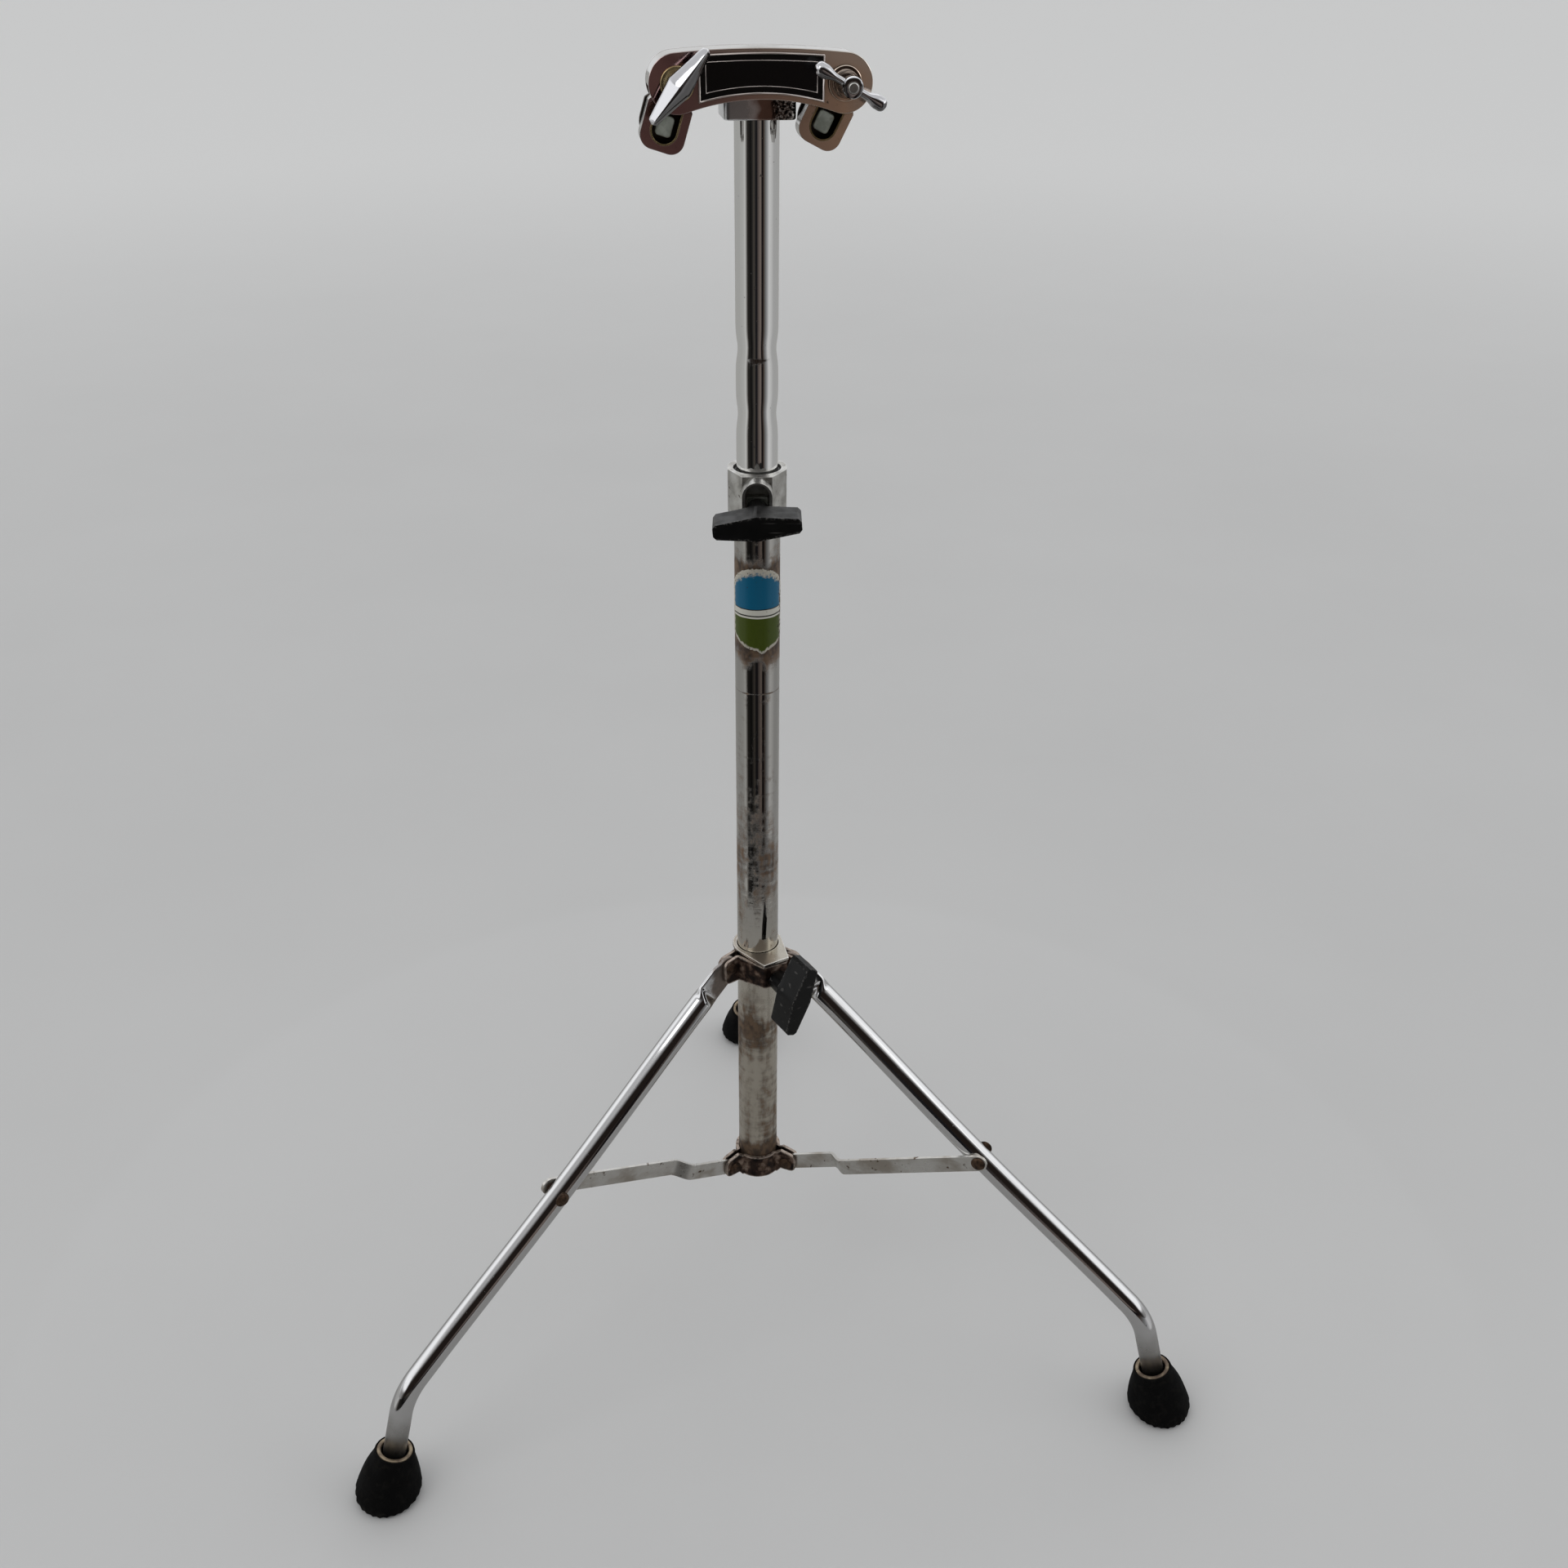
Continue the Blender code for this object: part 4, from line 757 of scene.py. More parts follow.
def label_material():
    """Plain two-colour band: blue over olive with a pale stripe, torn and stained at its rim."""
    g = material("label_print")
    low, high = (corner.z for corner in node_box("tube_label"))
    share = g.span(g.axis("Z"), low * MM, high * MM)
    wobble = (g.noise(160.0, 3.0) - 0.5) * 0.012
    share = share + wobble
    inks = {"olive": (0.055, 0.080, 0.006), "white": (0.62, 0.61, 0.54),
            "blue": (0.0005, 0.115, 0.225), "ink": (0.02, 0.02, 0.015)}
    bands = g.ramp(share, [(z / (high - low), inks[name]) for name, z in LABEL_PRINT], 'CONSTANT')
    rim = g.node("Attribute", {}, output="Fac", attribute_name="rim")
    torn = rim + (g.noise(420.0, 4.0) - 0.5) * 1.6
    paper = g.step(torn, 0.95, 0.45)
    colour = g.mix(paper, bands, (0.50, 0.47, 0.40))
    soil = g.noise(620.0, 5.0) + paper * 0.09
    soil = soil + g.step(g.axis("X"), 0.0085, 0.0115, 0.0, 0.14)
    dirt = g.step(soil, 0.66, 0.76)
    colour = g.mix(dirt * 0.85, colour, (0.035, 0.022, 0.014))
    g.finish(colour, g.step(dirt, 0.0, 1.0, 0.30, 0.7), 0.0, g.noise(500.0, 3.0), 0.00006, specular=0.25)


def make_materials():
    chrome_material("chrome_clean", (0.84, 0.84, 0.83), stained=0.20, base_rough=0.035)
    bracket_material("chrome_bracket", 0.06)
    bracket_material("chrome_tilter", 0.10)
    cast_material()
    socket_material()
    chrome_material("chrome_cap", (0.52, 0.49, 0.43), stained=0.55, base_rough=0.16, edge_highlight=0.0012)
    # rear tabs: dark tint, which seen through the tilter windows is painted shade
    chrome_material("chrome_dark", (0.10, 0.085, 0.075), stained=0.5, base_rough=0.35)
    wing_material()
    chrome_material("trim_bright", (0.80, 0.72, 0.68), stained=0.15, base_rough=0.30)
    column_material()
    rusty_material()
    leg_material()
    brace_material()
    plastic_material()
    rubber_material()
    badge_material()
    label_material()
    alloy_material("zinc_dull", (0.36, 0.38, 0.34), (0.20, 0.21, 0.18), 0.38, 0.75)
    alloy_material("zinc_pale", (0.62, 0.67, 0.60), (0.36, 0.39, 0.34), 0.42, 0.35)
    alloy_material("brass_worn", (0.62, 0.50, 0.27), (0.36, 0.27, 0.14), 0.22, 1.0)
    alloy_material("ferrule_grey", (0.36, 0.29, 0.20), (0.16, 0.12, 0.09), 0.42, 0.7)
    alloy_material("rivet_dark", (0.11, 0.065, 0.04), (0.03, 0.018, 0.012), 0.5, 0.7, 320.0)


# ---------------------------------------------------------------- column

def build_tubes():
    """Plain lower tube, and upper tube pinched at its two dents."""
    low, high = node_box("lower_tube")
    wall = sleeve(LOWER_R - TUBE_WALL, LOWER_R, low.z, high.z, 0.4, 128)
    add_piece("lower_tube", wall, "tube_worn")
    low, high = node_box("upper_tube")
    profile = [(UPPER_R - TUBE_WALL, high.z), (UPPER_R - TUBE_WALL, low.z), (UPPER_R, low.z)]
    steps = 150
    for i in range(1, steps):
        z = low.z + (high.z - low.z) * i / steps
        pinch = sum(depth * math.exp(-((z - height) / DENT_WIDTH) ** 2) for height, depth in DENTS)
        profile.append((UPPER_R - pinch, z))
    profile.append((UPPER_R, high.z))
    add_piece("upper_tube", turned(profile, 96, UPRIGHT, True), "chrome_clean")


def build_end_plug():
    top = node_box("lower_tube")[0].z - GAP
    bore = LOWER_R - TUBE_WALL - GAP
    corner = 1.2
    profile = arc((LOWER_R - corner, corner), corner, -90, 0, 5)
    profile += [(LOWER_R, top), (bore, top), (bore, top + 9.0), (bore - corner, top + 10.5)]
    add_piece("tube_end_plug", turned(profile, 64, UPRIGHT), "knob_black")


def build_label():
    """Curved oval sticker with a torn rim; the rim attribute falls to 0 at its edge."""
    low, high = (corner.z for corner in node_box("tube_label"))
    columns, rows = 96, 28
    mesh = bmesh.new()
    layer = mesh.verts.layers.float.new("rim")
    sheets = []
    for radius in LABEL_RADII:
        sheet = []
        for i in range(columns + 1):
            side = 2.0 * i / columns - 1.0
            out = radial(CLAMP_AZIMUTH + LABEL_HALF_ANGLE * side)
            ragged = noise.noise(Vector((i * 0.31, 2.0, 0.0))) * 0.7
            ragged += noise.noise(Vector((i * 0.93, 7.0, 0.0))) * 0.5
            tear = max(0.0, side - 0.55) * 5.0 * noise.noise(Vector((i * 0.55, 4.0, 1.0)))
            top = high + 3.6 - 10.5 * abs(side) ** 2.4 + ragged * 1.2 + tear
            tip = 2.0 * math.exp(-((side - 0.16) / 0.12) ** 2)
            bottom = low + 2.6 + 9.0 * abs(side) ** 2.0 - 3.0 * max(0.0, side) + ragged * 0.8 - tip + tear
            line = []
            for j in range(rows + 1):
                share = j / rows
                z = bottom + (top - bottom) * share
                vertex = mesh.verts.new(out * radius + UP * z)
                edge = min(z - bottom, (top - z) * 0.42, (1.0 - abs(side)) * 14.0)
                vertex[layer] = min(1.8, edge / 2.3)
                line.append(vertex)
            sheet.append(line)
        sheets.append(sheet)
    inner, outer = sheets
    for sheet in sheets:
        for a, b in zip(sheet, sheet[1:]):
            for j in range(rows):
                mesh.faces.new((a[j], b[j], b[j + 1], a[j + 1]))
    for i in range(columns):
        for j in (0, rows):
            mesh.faces.new((inner[i][j], inner[i + 1][j], outer[i + 1][j], outer[i][j]))
    for i in (0, columns):
        for j in range(rows):
            mesh.faces.new((inner[i][j], inner[i][j + 1], outer[i][j + 1], outer[i][j]))
    add_piece("tube_label", mesh, "label_print")


# ---------------------------------------------------------------- pressed plates

def rounded_path(corners, radius, steps):
    """Middle points and side directions along a plan outline whose inner corners are rounded."""
    path = []
    for i, corner in enumerate(corners):
        before = (corner - corners[i - 1]).normalized() if i else None
        after = (corners[i + 1] - corner).normalized() if i + 1 < len(corners) else None
        if before is None or after is None:
            heading = after or before
            path.append((corner, Vector((heading.y, -heading.x, 0.0))))
            continue
        turn = math.atan2(before.x * after.y - before.y * after.x, before.dot(after))
        start = corner - before * radius * math.tan(abs(turn) / 2)
        inward = Vector((-before.y, before.x, 0.0)) * math.copysign(1.0, turn)
        centre = start + inward * radius
        for step in range(steps + 1):
            bend = Matrix.Rotation(turn * step / steps, 3, 'Z')
            heading = bend @ before
            path.append((centre - bend @ inward * radius, Vector((heading.y, -heading.x, 0.0))))
    return path


def ear_point(leg, toward, distance, ear_offset):
    return radial(leg) * distance + tangent(leg) * toward * ear_offset


def plate_azimuths(side):
    first, second = (AZIMUTHS[leg] % 360.0 for leg in PLATE_LEGS[side])
    return first, second + (360.0 if second < first else 0.0)


def ear_distances(root, reach):
    """Distances of an ear's stations, closer together round its end corners."""
    straight = reach - EAR_CORNER_R
    turns = [math.radians(a) for a in range(0, 91, 15)]
    return [root] + [straight + EAR_CORNER_R * math.sin(a) for a in turns]


def hugging_path(legs, ear_offset, reach):
    """Plan path of a plate from ear end to ear end, hugging the tube between two legs."""
    lift = math.degrees(math.asin(ear_offset / (PLATE_MIDDLE_R + 1.6))) + 7.0
    start, end = legs[0] + lift, legs[1] - lift
    steps = 30
    path = []
    for i in range(steps + 1):
        out = radial(start + (end - start) * i / steps)
        path.append((out * PLATE_MIDDLE_R, out))
    for leg, toward in ((legs[0], 1), (legs[1], -1)):
        ear = [(ear_point(leg, toward, distance, ear_offset), tangent(leg) * toward)
               for distance in ear_distances(EAR_ROOT, reach)]
        foot = path[0] if toward > 0 else path[-1]
        bend = []
        for share in (0.75, 0.5, 0.25):
            point = foot[0] * share + ear[0][0] * (1 - share)
            bend.append((point, (foot[1] * share + ear[0][1] * (1 - share)).normalized()))
        path = ear[::-1] + bend[::-1] + path if toward > 0 else path + bend + ear
    return path


def nose_path(legs, ear_offset):
    """Plan path of the front collar plate: ear, nose round the screw, ear."""
    out, aside = radial(NOSE_AZIMUTH), tangent(NOSE_AZIMUTH)
    inset = PLATE_THICK / 2
    front = NOSE_FRONT - inset
    ears = []
    for leg, toward, root in ((legs[0], 1, NOSE_EAR_ROOTS[0]), (legs[1], -1, NOSE_EAR_ROOTS[1])):
        ears.append([ear_point(leg, toward, d, ear_offset) for d in (root, COLLAR_REACH)])
    corners = [ears[0][1], ears[0][0]]
    corners += [out * front + aside * side for side in (NOSE_SIDES[0] + inset, NOSE_SIDES[1] - inset)]
    corners += ears[1]
    path = rounded_path(corners, 1.5, 8)
    starts, ends = [], []
    for distance in ear_distances(EAR_ROOT + 1.5, COLLAR_REACH)[1:-1]:
        starts.append((ear_point(legs[0], 1, distance, ear_offset), path[0][1]))
        ends.append((ear_point(legs[1], -1, distance, ear_offset), path[-1][1]))
    return [path[0]] + starts[::-1] + path[1:-1] + ends + [path[-1]]


def plate_limits(distance, reach, wall, root, end):
    """Lower and upper height at a distance from the axis: wall, then ear with round corners."""
    rise = smooth((distance - PLATE_MIDDLE_R - 0.2) / (EAR_ROOT - PLATE_MIDDLE_R))
    share = min(1.0, max(0.0, (distance - EAR_ROOT) / (reach - EAR_ROOT)))
    limits = []
    for i in (0, 1):
        ear = root[i] + (end[i] - root[i]) * share
        limits.append(wall[i] + (ear - wall[i]) * rise)
    beyond = min(1.0, max(0.0, (distance - reach + EAR_CORNER_R) / EAR_CORNER_R))
    cut = EAR_CORNER_R * (1.0 - math.sqrt(1.0 - beyond * beyond))
    return limits[0] + cut, limits[1] - cut


def build_plate(node, path, legs, reach, heights, shapes=()):
    stations = []
    for point, side in path:
        distance = max(point.dot(radial(leg)) for leg in legs)
        bottom, top = plate_limits(distance, reach, *heights)
        stations.append((point, side, UP * bottom, UP * top))
    add_piece(node, strip(stations, PLATE_THICK / 2, 1.3), "plate_rust", shapes, bevel=0.45)


def build_rivet(node, azimuth, centre, head_r, half_grip, shank_r):
    """Domed rivet through both ears."""
    head = dome(head_r, half_grip, 1.5, range(0, 90, 12))
    profile = [(r, -z) for r, z in reversed(head)] + [(shank_r, -half_grip), (shank_r, half_grip)] + head
    matrix = axial_frame(in_leg_plane(azimuth, centre), tangent(azimuth))
    add_piece(node, turned(profile, 32, matrix), "rivet_dark")


def build_hub():
    ear_offset = BRACE_HALF + GAP + PLATE_THICK / 2
    low, high = HUB_LOW, HUB_HIGH
    heights = ((low, high - 2.1), (low + 3.0, high), (low + 3.0, high - 3.0))
    for side in PLATE_LEGS:
        legs = plate_azimuths(side)
        path = hugging_path(legs, ear_offset, HUB_REACH)
        build_plate("hub_plate_" + side, path, legs, HUB_REACH, heights)
    for leg, azimuth in AZIMUTHS.items():
        build_rivet("hub_rivet_" + leg, azimuth, BRACE_PIVOT, 4.4, ear_offset + PLATE_THICK / 2 + 0.1, 2.4)


def build_collar():
    ear_offset = TONGUE_HALF + GAP + PLATE_THICK / 2
    high = CAP_TOP - CAP_THICK - GAP
    low = COLLAR_LOW
    ears = ((low, high), (low, high - 1.8))
    for side in PLATE_LEGS:
        legs = plate_azimuths(side)
        if side == "front":
            hole = rod(SCREW_HOLE_R, 16.0, 30.0, collar_screw_frame())
            build_plate("collar_plate_front", nose_path(legs, ear_offset), legs, COLLAR_REACH,
                        ((low + 2.5, high), *ears), [('DIFFERENCE', hole)])
        else:
            path = hugging_path(legs, ear_offset, COLLAR_REACH)
            build_plate("collar_plate_" + side, path, legs, COLLAR_REACH, ((low + 0.5, high), *ears))
    for leg, azimuth in AZIMUTHS.items():
        build_rivet("leg_rivet_" + leg, azimuth, LEG_PIVOT, 3.9, ear_offset + PLATE_THICK / 2 + 0.1, 2.6)
    build_cap()


def build_cap():
    """Flat top plate: a ring round the tube, drawn out to the nose's two front corners."""
    left, right = ((NOSE_FRONT, side) for side in NOSE_SIDES)
    touches = []
    for corner, turn in ((right, 1), (left, -1)):
        towards = math.degrees(math.atan2(corner[1], corner[0]))
        touches.append(towards + turn * math.degrees(math.acos(CAP_R / math.hypot(*corner))))
    outline = [left, right] + arc((0, 0), CAP_R, touches[0], touches[1] + 360.0, 72)
    matrix = basis(ORIGIN, radial(NOSE_AZIMUTH), tangent(NOSE_AZIMUTH), UP)
    bore = rod(LOWER_R + GAP, CAP_TOP - 5, CAP_TOP + 5, UPRIGHT, 96)
    add_piece("collar_cap", prism(outline, CAP_TOP - CAP_THICK, CAP_TOP, matrix), "chrome_cap",
              [('DIFFERENCE', bore)], bevel=0.5)


# ---------------------------------------------------------------- legs, braces and feet

def leg_path():
    """Centre line of a leg as (point, direction, distance from the pivot)."""
    run = SOLE - LEG_PIVOT
    slope = LEG_END_DOWN.x / -LEG_END_DOWN.y
    length = (run.x + run.y * slope) / (LEG_DOWN.x + LEG_DOWN.y * slope)
    corner = LEG_PIVOT + LEG_DOWN * length
    turn = LEG_DOWN.angle(LEG_END_DOWN)
    cut = LEG_BEND_R * math.tan(turn / 2)
    marks = [-6.6 + 0.6 * i for i in range(24)] + [8.5, 12.0, 16.0, TONGUE_LENGTH]
    marks += [TONGUE_LENGTH + CRIMP_LENGTH * i / 10 for i in range(1, 11)]
    straight = length - cut
    marks += [marks[-1] + (straight - marks[-1]) * i / 24 for i in range(1, 25)]
    normal = Vector((LEG_DOWN.y, -LEG_DOWN.x))
    crimp_end = TONGUE_LENGTH + CRIMP_LENGTH
    path = []
    for s in marks:
        bow = LEG_BOW * math.sin(math.pi * max(0.0, s - crimp_end) / (straight - crimp_end)) ** 2
        path.append((LEG_PIVOT + LEG_DOWN * s + normal * bow, LEG_DOWN, s))
    centre = corner - LEG_DOWN * cut + normal * LEG_BEND_R
    for i in range(1, 19):
        bend = Matrix.Rotation(-turn * i / 18, 2)
        path.append((centre - bend @ normal * LEG_BEND_R, bend @ LEG_DOWN, straight + i))
    path.append((SOLE - LEG_END_DOWN * LEG_END_CLEARANCE, LEG_END_DOWN, straight + 60.0))
    return path


def build_leg(leg, azimuth):
    """Tube whose upper end is squeezed flat into a round-ended tongue."""
    steps = 48
    rings = []
    for point, direction, s in leg_path():
        squeeze = 1.0 - smooth((s - TONGUE_LENGTH) / CRIMP_LENGTH)
        wide = TONGUE_END_R + (TONGUE_HALF_WIDTH - TONGUE_END_R) * smooth(s / 7.0)
        if s < 0:
            wide = math.sqrt(max(2.0, TONGUE_END_R ** 2 - s * s))
        half_thick = LEG_R + (TONGUE_HALF - LEG_R) * squeeze
        half_wide = LEG_R + (wide - LEG_R) * squeeze
        power = 1.0 - 0.58 * squeeze
        across = Vector((-direction.y, direction.x))
        ring = []
        for i in range(steps):
            angle = 2 * math.pi * (i + 0.5) / steps
            side = math.copysign(abs(math.cos(angle)) ** power, math.cos(angle)) * half_thick
            lift = math.copysign(abs(math.sin(angle)) ** power, math.sin(angle)) * half_wide
            ring.append(in_leg_plane(azimuth, point + across * lift, side))
        rings.append(ring)
    add_piece("leg_" + leg, skin(rings), "leg_chrome")


def build_brace(leg, azimuth):
    """Round-ended flat strip with a joggle from the hub's slot to the leg's side."""
    along = BRACE_RIVET - BRACE_PIVOT
    length = along.length
    along = along.normalized()
    across = Vector((-along.y, along.x))
    lift = radial(azimuth) * across.x + UP * across.y
    run = radial(azimuth) * along.x + UP * along.y
    stations = []
    marks = [-BRACE_HALF_WIDTH * math.cos(math.radians(a)) for a in range(4, 91, 8)]
    marks += [JOGGLE[0] - 3 + (JOGGLE[1] - JOGGLE[0] + 6) * i / 14 for i in range(15)]
    marks += [length * 0.6, length * 0.8]
    marks += [length + BRACE_HALF_WIDTH * math.sin(math.radians(a)) for a in range(0, 87, 8)]
    for s in marks:
        share = (s - JOGGLE[0]) / (JOGGLE[1] - JOGGLE[0])
        offset = -BRACE_OFFSET * smooth(share)
        lean = BRACE_OFFSET * 6 * max(0.0, share * (1 - share)) / (JOGGLE[1] - JOGGLE[0])
        beyond = max(-s, s - length, 0.0)
        wide = math.sqrt(max(0.3, BRACE_HALF_WIDTH ** 2 - beyond * beyond))
        middle = in_leg_plane(azimuth, BRACE_PIVOT + along * s, offset)
        side = (tangent(azimuth) + run * lean).normalized()
        stations.append((middle, side, lift * -wide, lift * wide))
    add_piece("brace_" + leg, strip(stations, BRACE_HALF), "brace_satin", bevel=0.3)
    matrix = axial_frame(in_leg_plane(azimuth, BRACE_RIVET), tangent(azimuth))
    shank = STUD_HEAD_R - 2.1
    outer = -BRACE_OFFSET - BRACE_HALF - 0.1
    head = dome(STUD_HEAD_R, outer, -STUD_HEAD_HEIGHT, range(80, -1, -10))
    head += [(shank, outer), (shank, -LEG_R - GAP / 2)]
    add_piece("brace_rivet_" + leg, turned(head, 32, matrix), "rivet_dark")
    inner = LEG_R + 0.1
    stud = [(shank, -LEG_R + 0.2), (shank, inner)]
    stud += dome(STUD_HEAD_R, inner, STUD_HEAD_HEIGHT, range(0, 81, 10))
    add_piece("leg_stud_" + leg, turned(stud, 32, matrix), "rivet_dark")


def build_foot(leg, azimuth):
    """Rubber foot: cone with a rolled top edge, worn ribs round a level sole, ferrule in its seat."""
    down = radial(azimuth) * LEG_END_DOWN.x + UP * LEG_END_DOWN.y
    matrix = axial_frame(in_leg_plane(azimuth, SOLE), -down)
    top, seat = FOOT_HEIGHT, FOOT_HEIGHT - 3.3
    low, wide = 7.4, FOOT_WIDE_R
    profile = [(wide - 2.6, 0.0), (wide - 1.7, 0.4), (wide - 0.9, 1.8), (wide - 0.2, 3.6), (wide + 0.15, 5.6),
               (wide - 0.05, low)]
    for i in range(1, 12):
        share = i / 12
        belly = 0.7 * math.sin(math.pi * share)
        cone = wide - 0.05 + (FOOT_TOP_R + 0.4 - wide) * share
        profile.append((cone + belly, low + (top - 3.2 - low) * share))
    profile += [(FOOT_TOP_R + 0.55, top - 3.0), (FOOT_TOP_R + 0.25, top - 1.2), (FOOT_TOP_R - 0.15, top - 0.2),
                (FOOT_SEAT_R + 0.4, top), (FOOT_SEAT_R, top - 0.3), (FOOT_SEAT_R, seat), (LEG_R + GAP, seat),
                (LEG_R + GAP, top - 21.0)]
    rings = []
    outer = len(profile) - 5
    for index, (radius, z) in enumerate(profile):
        level_share = max(0.0, 1.0 - z / FOOT_WIDE_R) if index < outer else 0.0
        ribs = 0.35 * smooth((9.0 - z) / 6.0) if index < outer else 0.0
        ring = []
        for i, point in enumerate(circle(radius, FOOT_RIBS * 4, z)):
            wear = noise.noise(Vector((i * 0.21, z * 0.4, AZIMUTHS[leg]))) * ribs * 1.4
            bulge = 1.0 + (ribs * math.cos(math.pi / 2 * i) + wear) / radius
            world = matrix @ Vector((point.x * bulge, point.y * bulge, z))
            if index == 0:
                world.z = FLOOR
            elif level_share:
                lean = (world - matrix @ Vector((0, 0, z))).dot(radial(azimuth)) * math.tan(LEG_END_SLOPE)
                world.z = max(world.z - level_share * lean, FLOOR + 0.2)
            ring.append(world)
        rings.append(ring)
    add_piece("foot_" + leg, skin(rings), "foot_rubber")
    wall = sleeve(8.4, FOOT_SEAT_R - GAP, FOOT_HEIGHT - 3.0, FOOT_HEIGHT + 0.2, 0.8, 64, matrix)
    add_piece("foot_ring_" + leg, wall, "ferrule_grey")


# ---------------------------------------------------------------- height clamp and T-knobs

def clamp_screw_frame():
    return axial_frame(pivot("clamp_knob_turn"), radial(CLAMP_AZIMUTH))


def collar_screw_frame():
    return axial_frame(pivot("collar_knob_turn"), radial(NOSE_AZIMUTH))


def build_height_clamp():
    half = CLAMP_HALF_WIDTH
    outline = [(-half, -4.0), (-half, 4.0)] + arc((0, 0), 16.4, 165, 15, 26) + [(half, 4.0), (half, -4.0)]
    outline += [(BOSS_HALF, -17.5), (-BOSS_HALF, -17.5)]
    facing = basis(ORIGIN, tangent(CLAMP_AZIMUTH), -radial(CLAMP_AZIMUTH), UP)
    matrix = clamp_screw_frame()
    axis_height = pivot("clamp_knob_turn").z
    rise = CLAMP_HIGH - axis_height
    boss = [(-BOSS_HALF, -12.0), (BOSS_HALF, -12.0)] + arc((0, rise - BOSS_HALF - 0.1), BOSS_HALF, 0, 180, 40)
    pocket = [(-POCKET_HALF, -8.0), (POCKET_HALF, -8.0)] + arc((0, POCKET_ARCH), POCKET_HALF, 0, 180, 40)
    bore = rod(LOWER_R + GAP, CLAMP_LOW - 5, CLAMP_HIGH + 5, UPRIGHT, 128)
    hole = rod(SCREW_HOLE_R, 11.0, 18.0, matrix)
    shapes = [('UNION', prism(boss, 15.0, BOSS_FRONT, matrix)), ('DIFFERENCE', bore),
              ('DIFFERENCE', prism(pocket, 17.0, BOSS_FRONT + 1.0, matrix)), ('DIFFERENCE', hole)]
    casting = prism(outline, CLAMP_LOW, CLAMP_HIGH, facing)
    add_piece("height_clamp", casting, "chrome_cast", shapes, bevel=0.9, segments=4)


def build_bush():
    low, high = node_box("clamp_bush")
    wall = sleeve(UPPER_R + 0.1, half_width("clamp_bush"), low.z, high.z, 0.4, 96)
    add_piece("clamp_bush", wall, "knob_black")


def build_screw(node, matrix, tip, end):
    """Screw with a rolled thread, drawn as shallow rings."""
    profile = [(SCREW_R - 0.9, tip)]
    count = int(end - tip - 1.0)
    for i in range(count):
        z = tip + 0.8 + i
        profile += [(SCREW_R - 0.35, z), (SCREW_R, z + 0.35), (SCREW_R, z + 0.55)]
    profile.append((SCREW_R, end))
    add_piece(node, turned(profile, 32, matrix), "zinc_dull")


def build_t_knob(name, matrix, hub_r, hub_start, bar_start, tip, turn):
    matrix = matrix @ Matrix.Rotation(math.radians(turn), 4, 'Z')
    half, middle, end = KNOB_LENGTH / 2, KNOB_MIDDLE / 2, KNOB_END / 2
    quarter = [(0.0, -middle), (1.6, -middle + 0.15), (half - 1.6, -end - 0.4), (half, -end + 1.4)]
    right = quarter + [(x, -y) for x, y in reversed(quarter)]
    outline = right + [(-x, -y) for x, y in right[1:-1]]
    hub = turned([(hub_r - 0.8, hub_start), (hub_r - 0.3, hub_start + 1.0), (hub_r, bar_start - 1.2),
                  (hub_r + 0.7, bar_start + 0.2), (hub_r, bar_start + 4.0)], 48, matrix)
    screw_end = bar_start + 8.0
    socket = rod(SCREW_R + GAP, hub_start - 1.0, screw_end + GAP, matrix)
    add_piece(name + "_knob", prism(outline, bar_start, bar_start + KNOB_DEPTH, matrix), "knob_black",
              [('UNION', hub), ('DIFFERENCE', socket)], bevel=0.8)
    build_screw(name + "_screw", matrix, tip, screw_end)


# ---------------------------------------------------------------- top bracket

def arch_radii():
    rise = ARCH_TOP - ARM_HEIGHT
    drop = rise - ARCH_RISE
    top = (ARM ** 2 + rise ** 2 - END_R ** 2) / (2 * (rise - END_R))
    bottom = (ARM ** 2 + drop ** 2 - END_R ** 2) / (2 * (END_R + drop))
    return top, bottom


def arch_outline(inset):
    """Arched outline in (x, height), anticlockwise from the left end's underside."""
    top_r, bottom_r = arch_radii()
    top_centre = ARCH_TOP - top_r
    bottom_centre = ARCH_TOP - ARCH_RISE - bottom_r
    bottom_tilt = math.degrees(math.atan2(ARM, ARM_HEIGHT - bottom_centre))
    top_tilt = math.degrees(math.atan2(ARM, ARM_HEIGHT - top_centre))
    end_r = END_R - inset
    outline = arc((0, bottom_centre), bottom_r + inset, 90 + bottom_tilt, 90 - bottom_tilt, 36)
    outline += arc((ARM, ARM_HEIGHT), end_r, -90 - bottom_tilt, 90 - top_tilt, 44)[1:]
    outline += arc((0, top_centre), top_r - inset, 90 - top_tilt, 90 + top_tilt, 28)[1:]
    outline += arc((-ARM, ARM_HEIGHT), end_r, 90 + top_tilt, 270 + bottom_tilt, 44)[1:-1]
    return outline


def facing_frame():
    return basis(ORIGIN, Vector((1, 0, 0)), UP, Vector((0, 1, 0)))


def bolt_frame(side):
    centre = pivot(side + "_tilt")
    return axial_frame(Vector((centre.x, 0, centre.z)), Vector((0, -1, 0)))


def bolt_hole(side, low, high):
    return rod(BOLT_HOLE_R, low, high, bolt_frame(side))


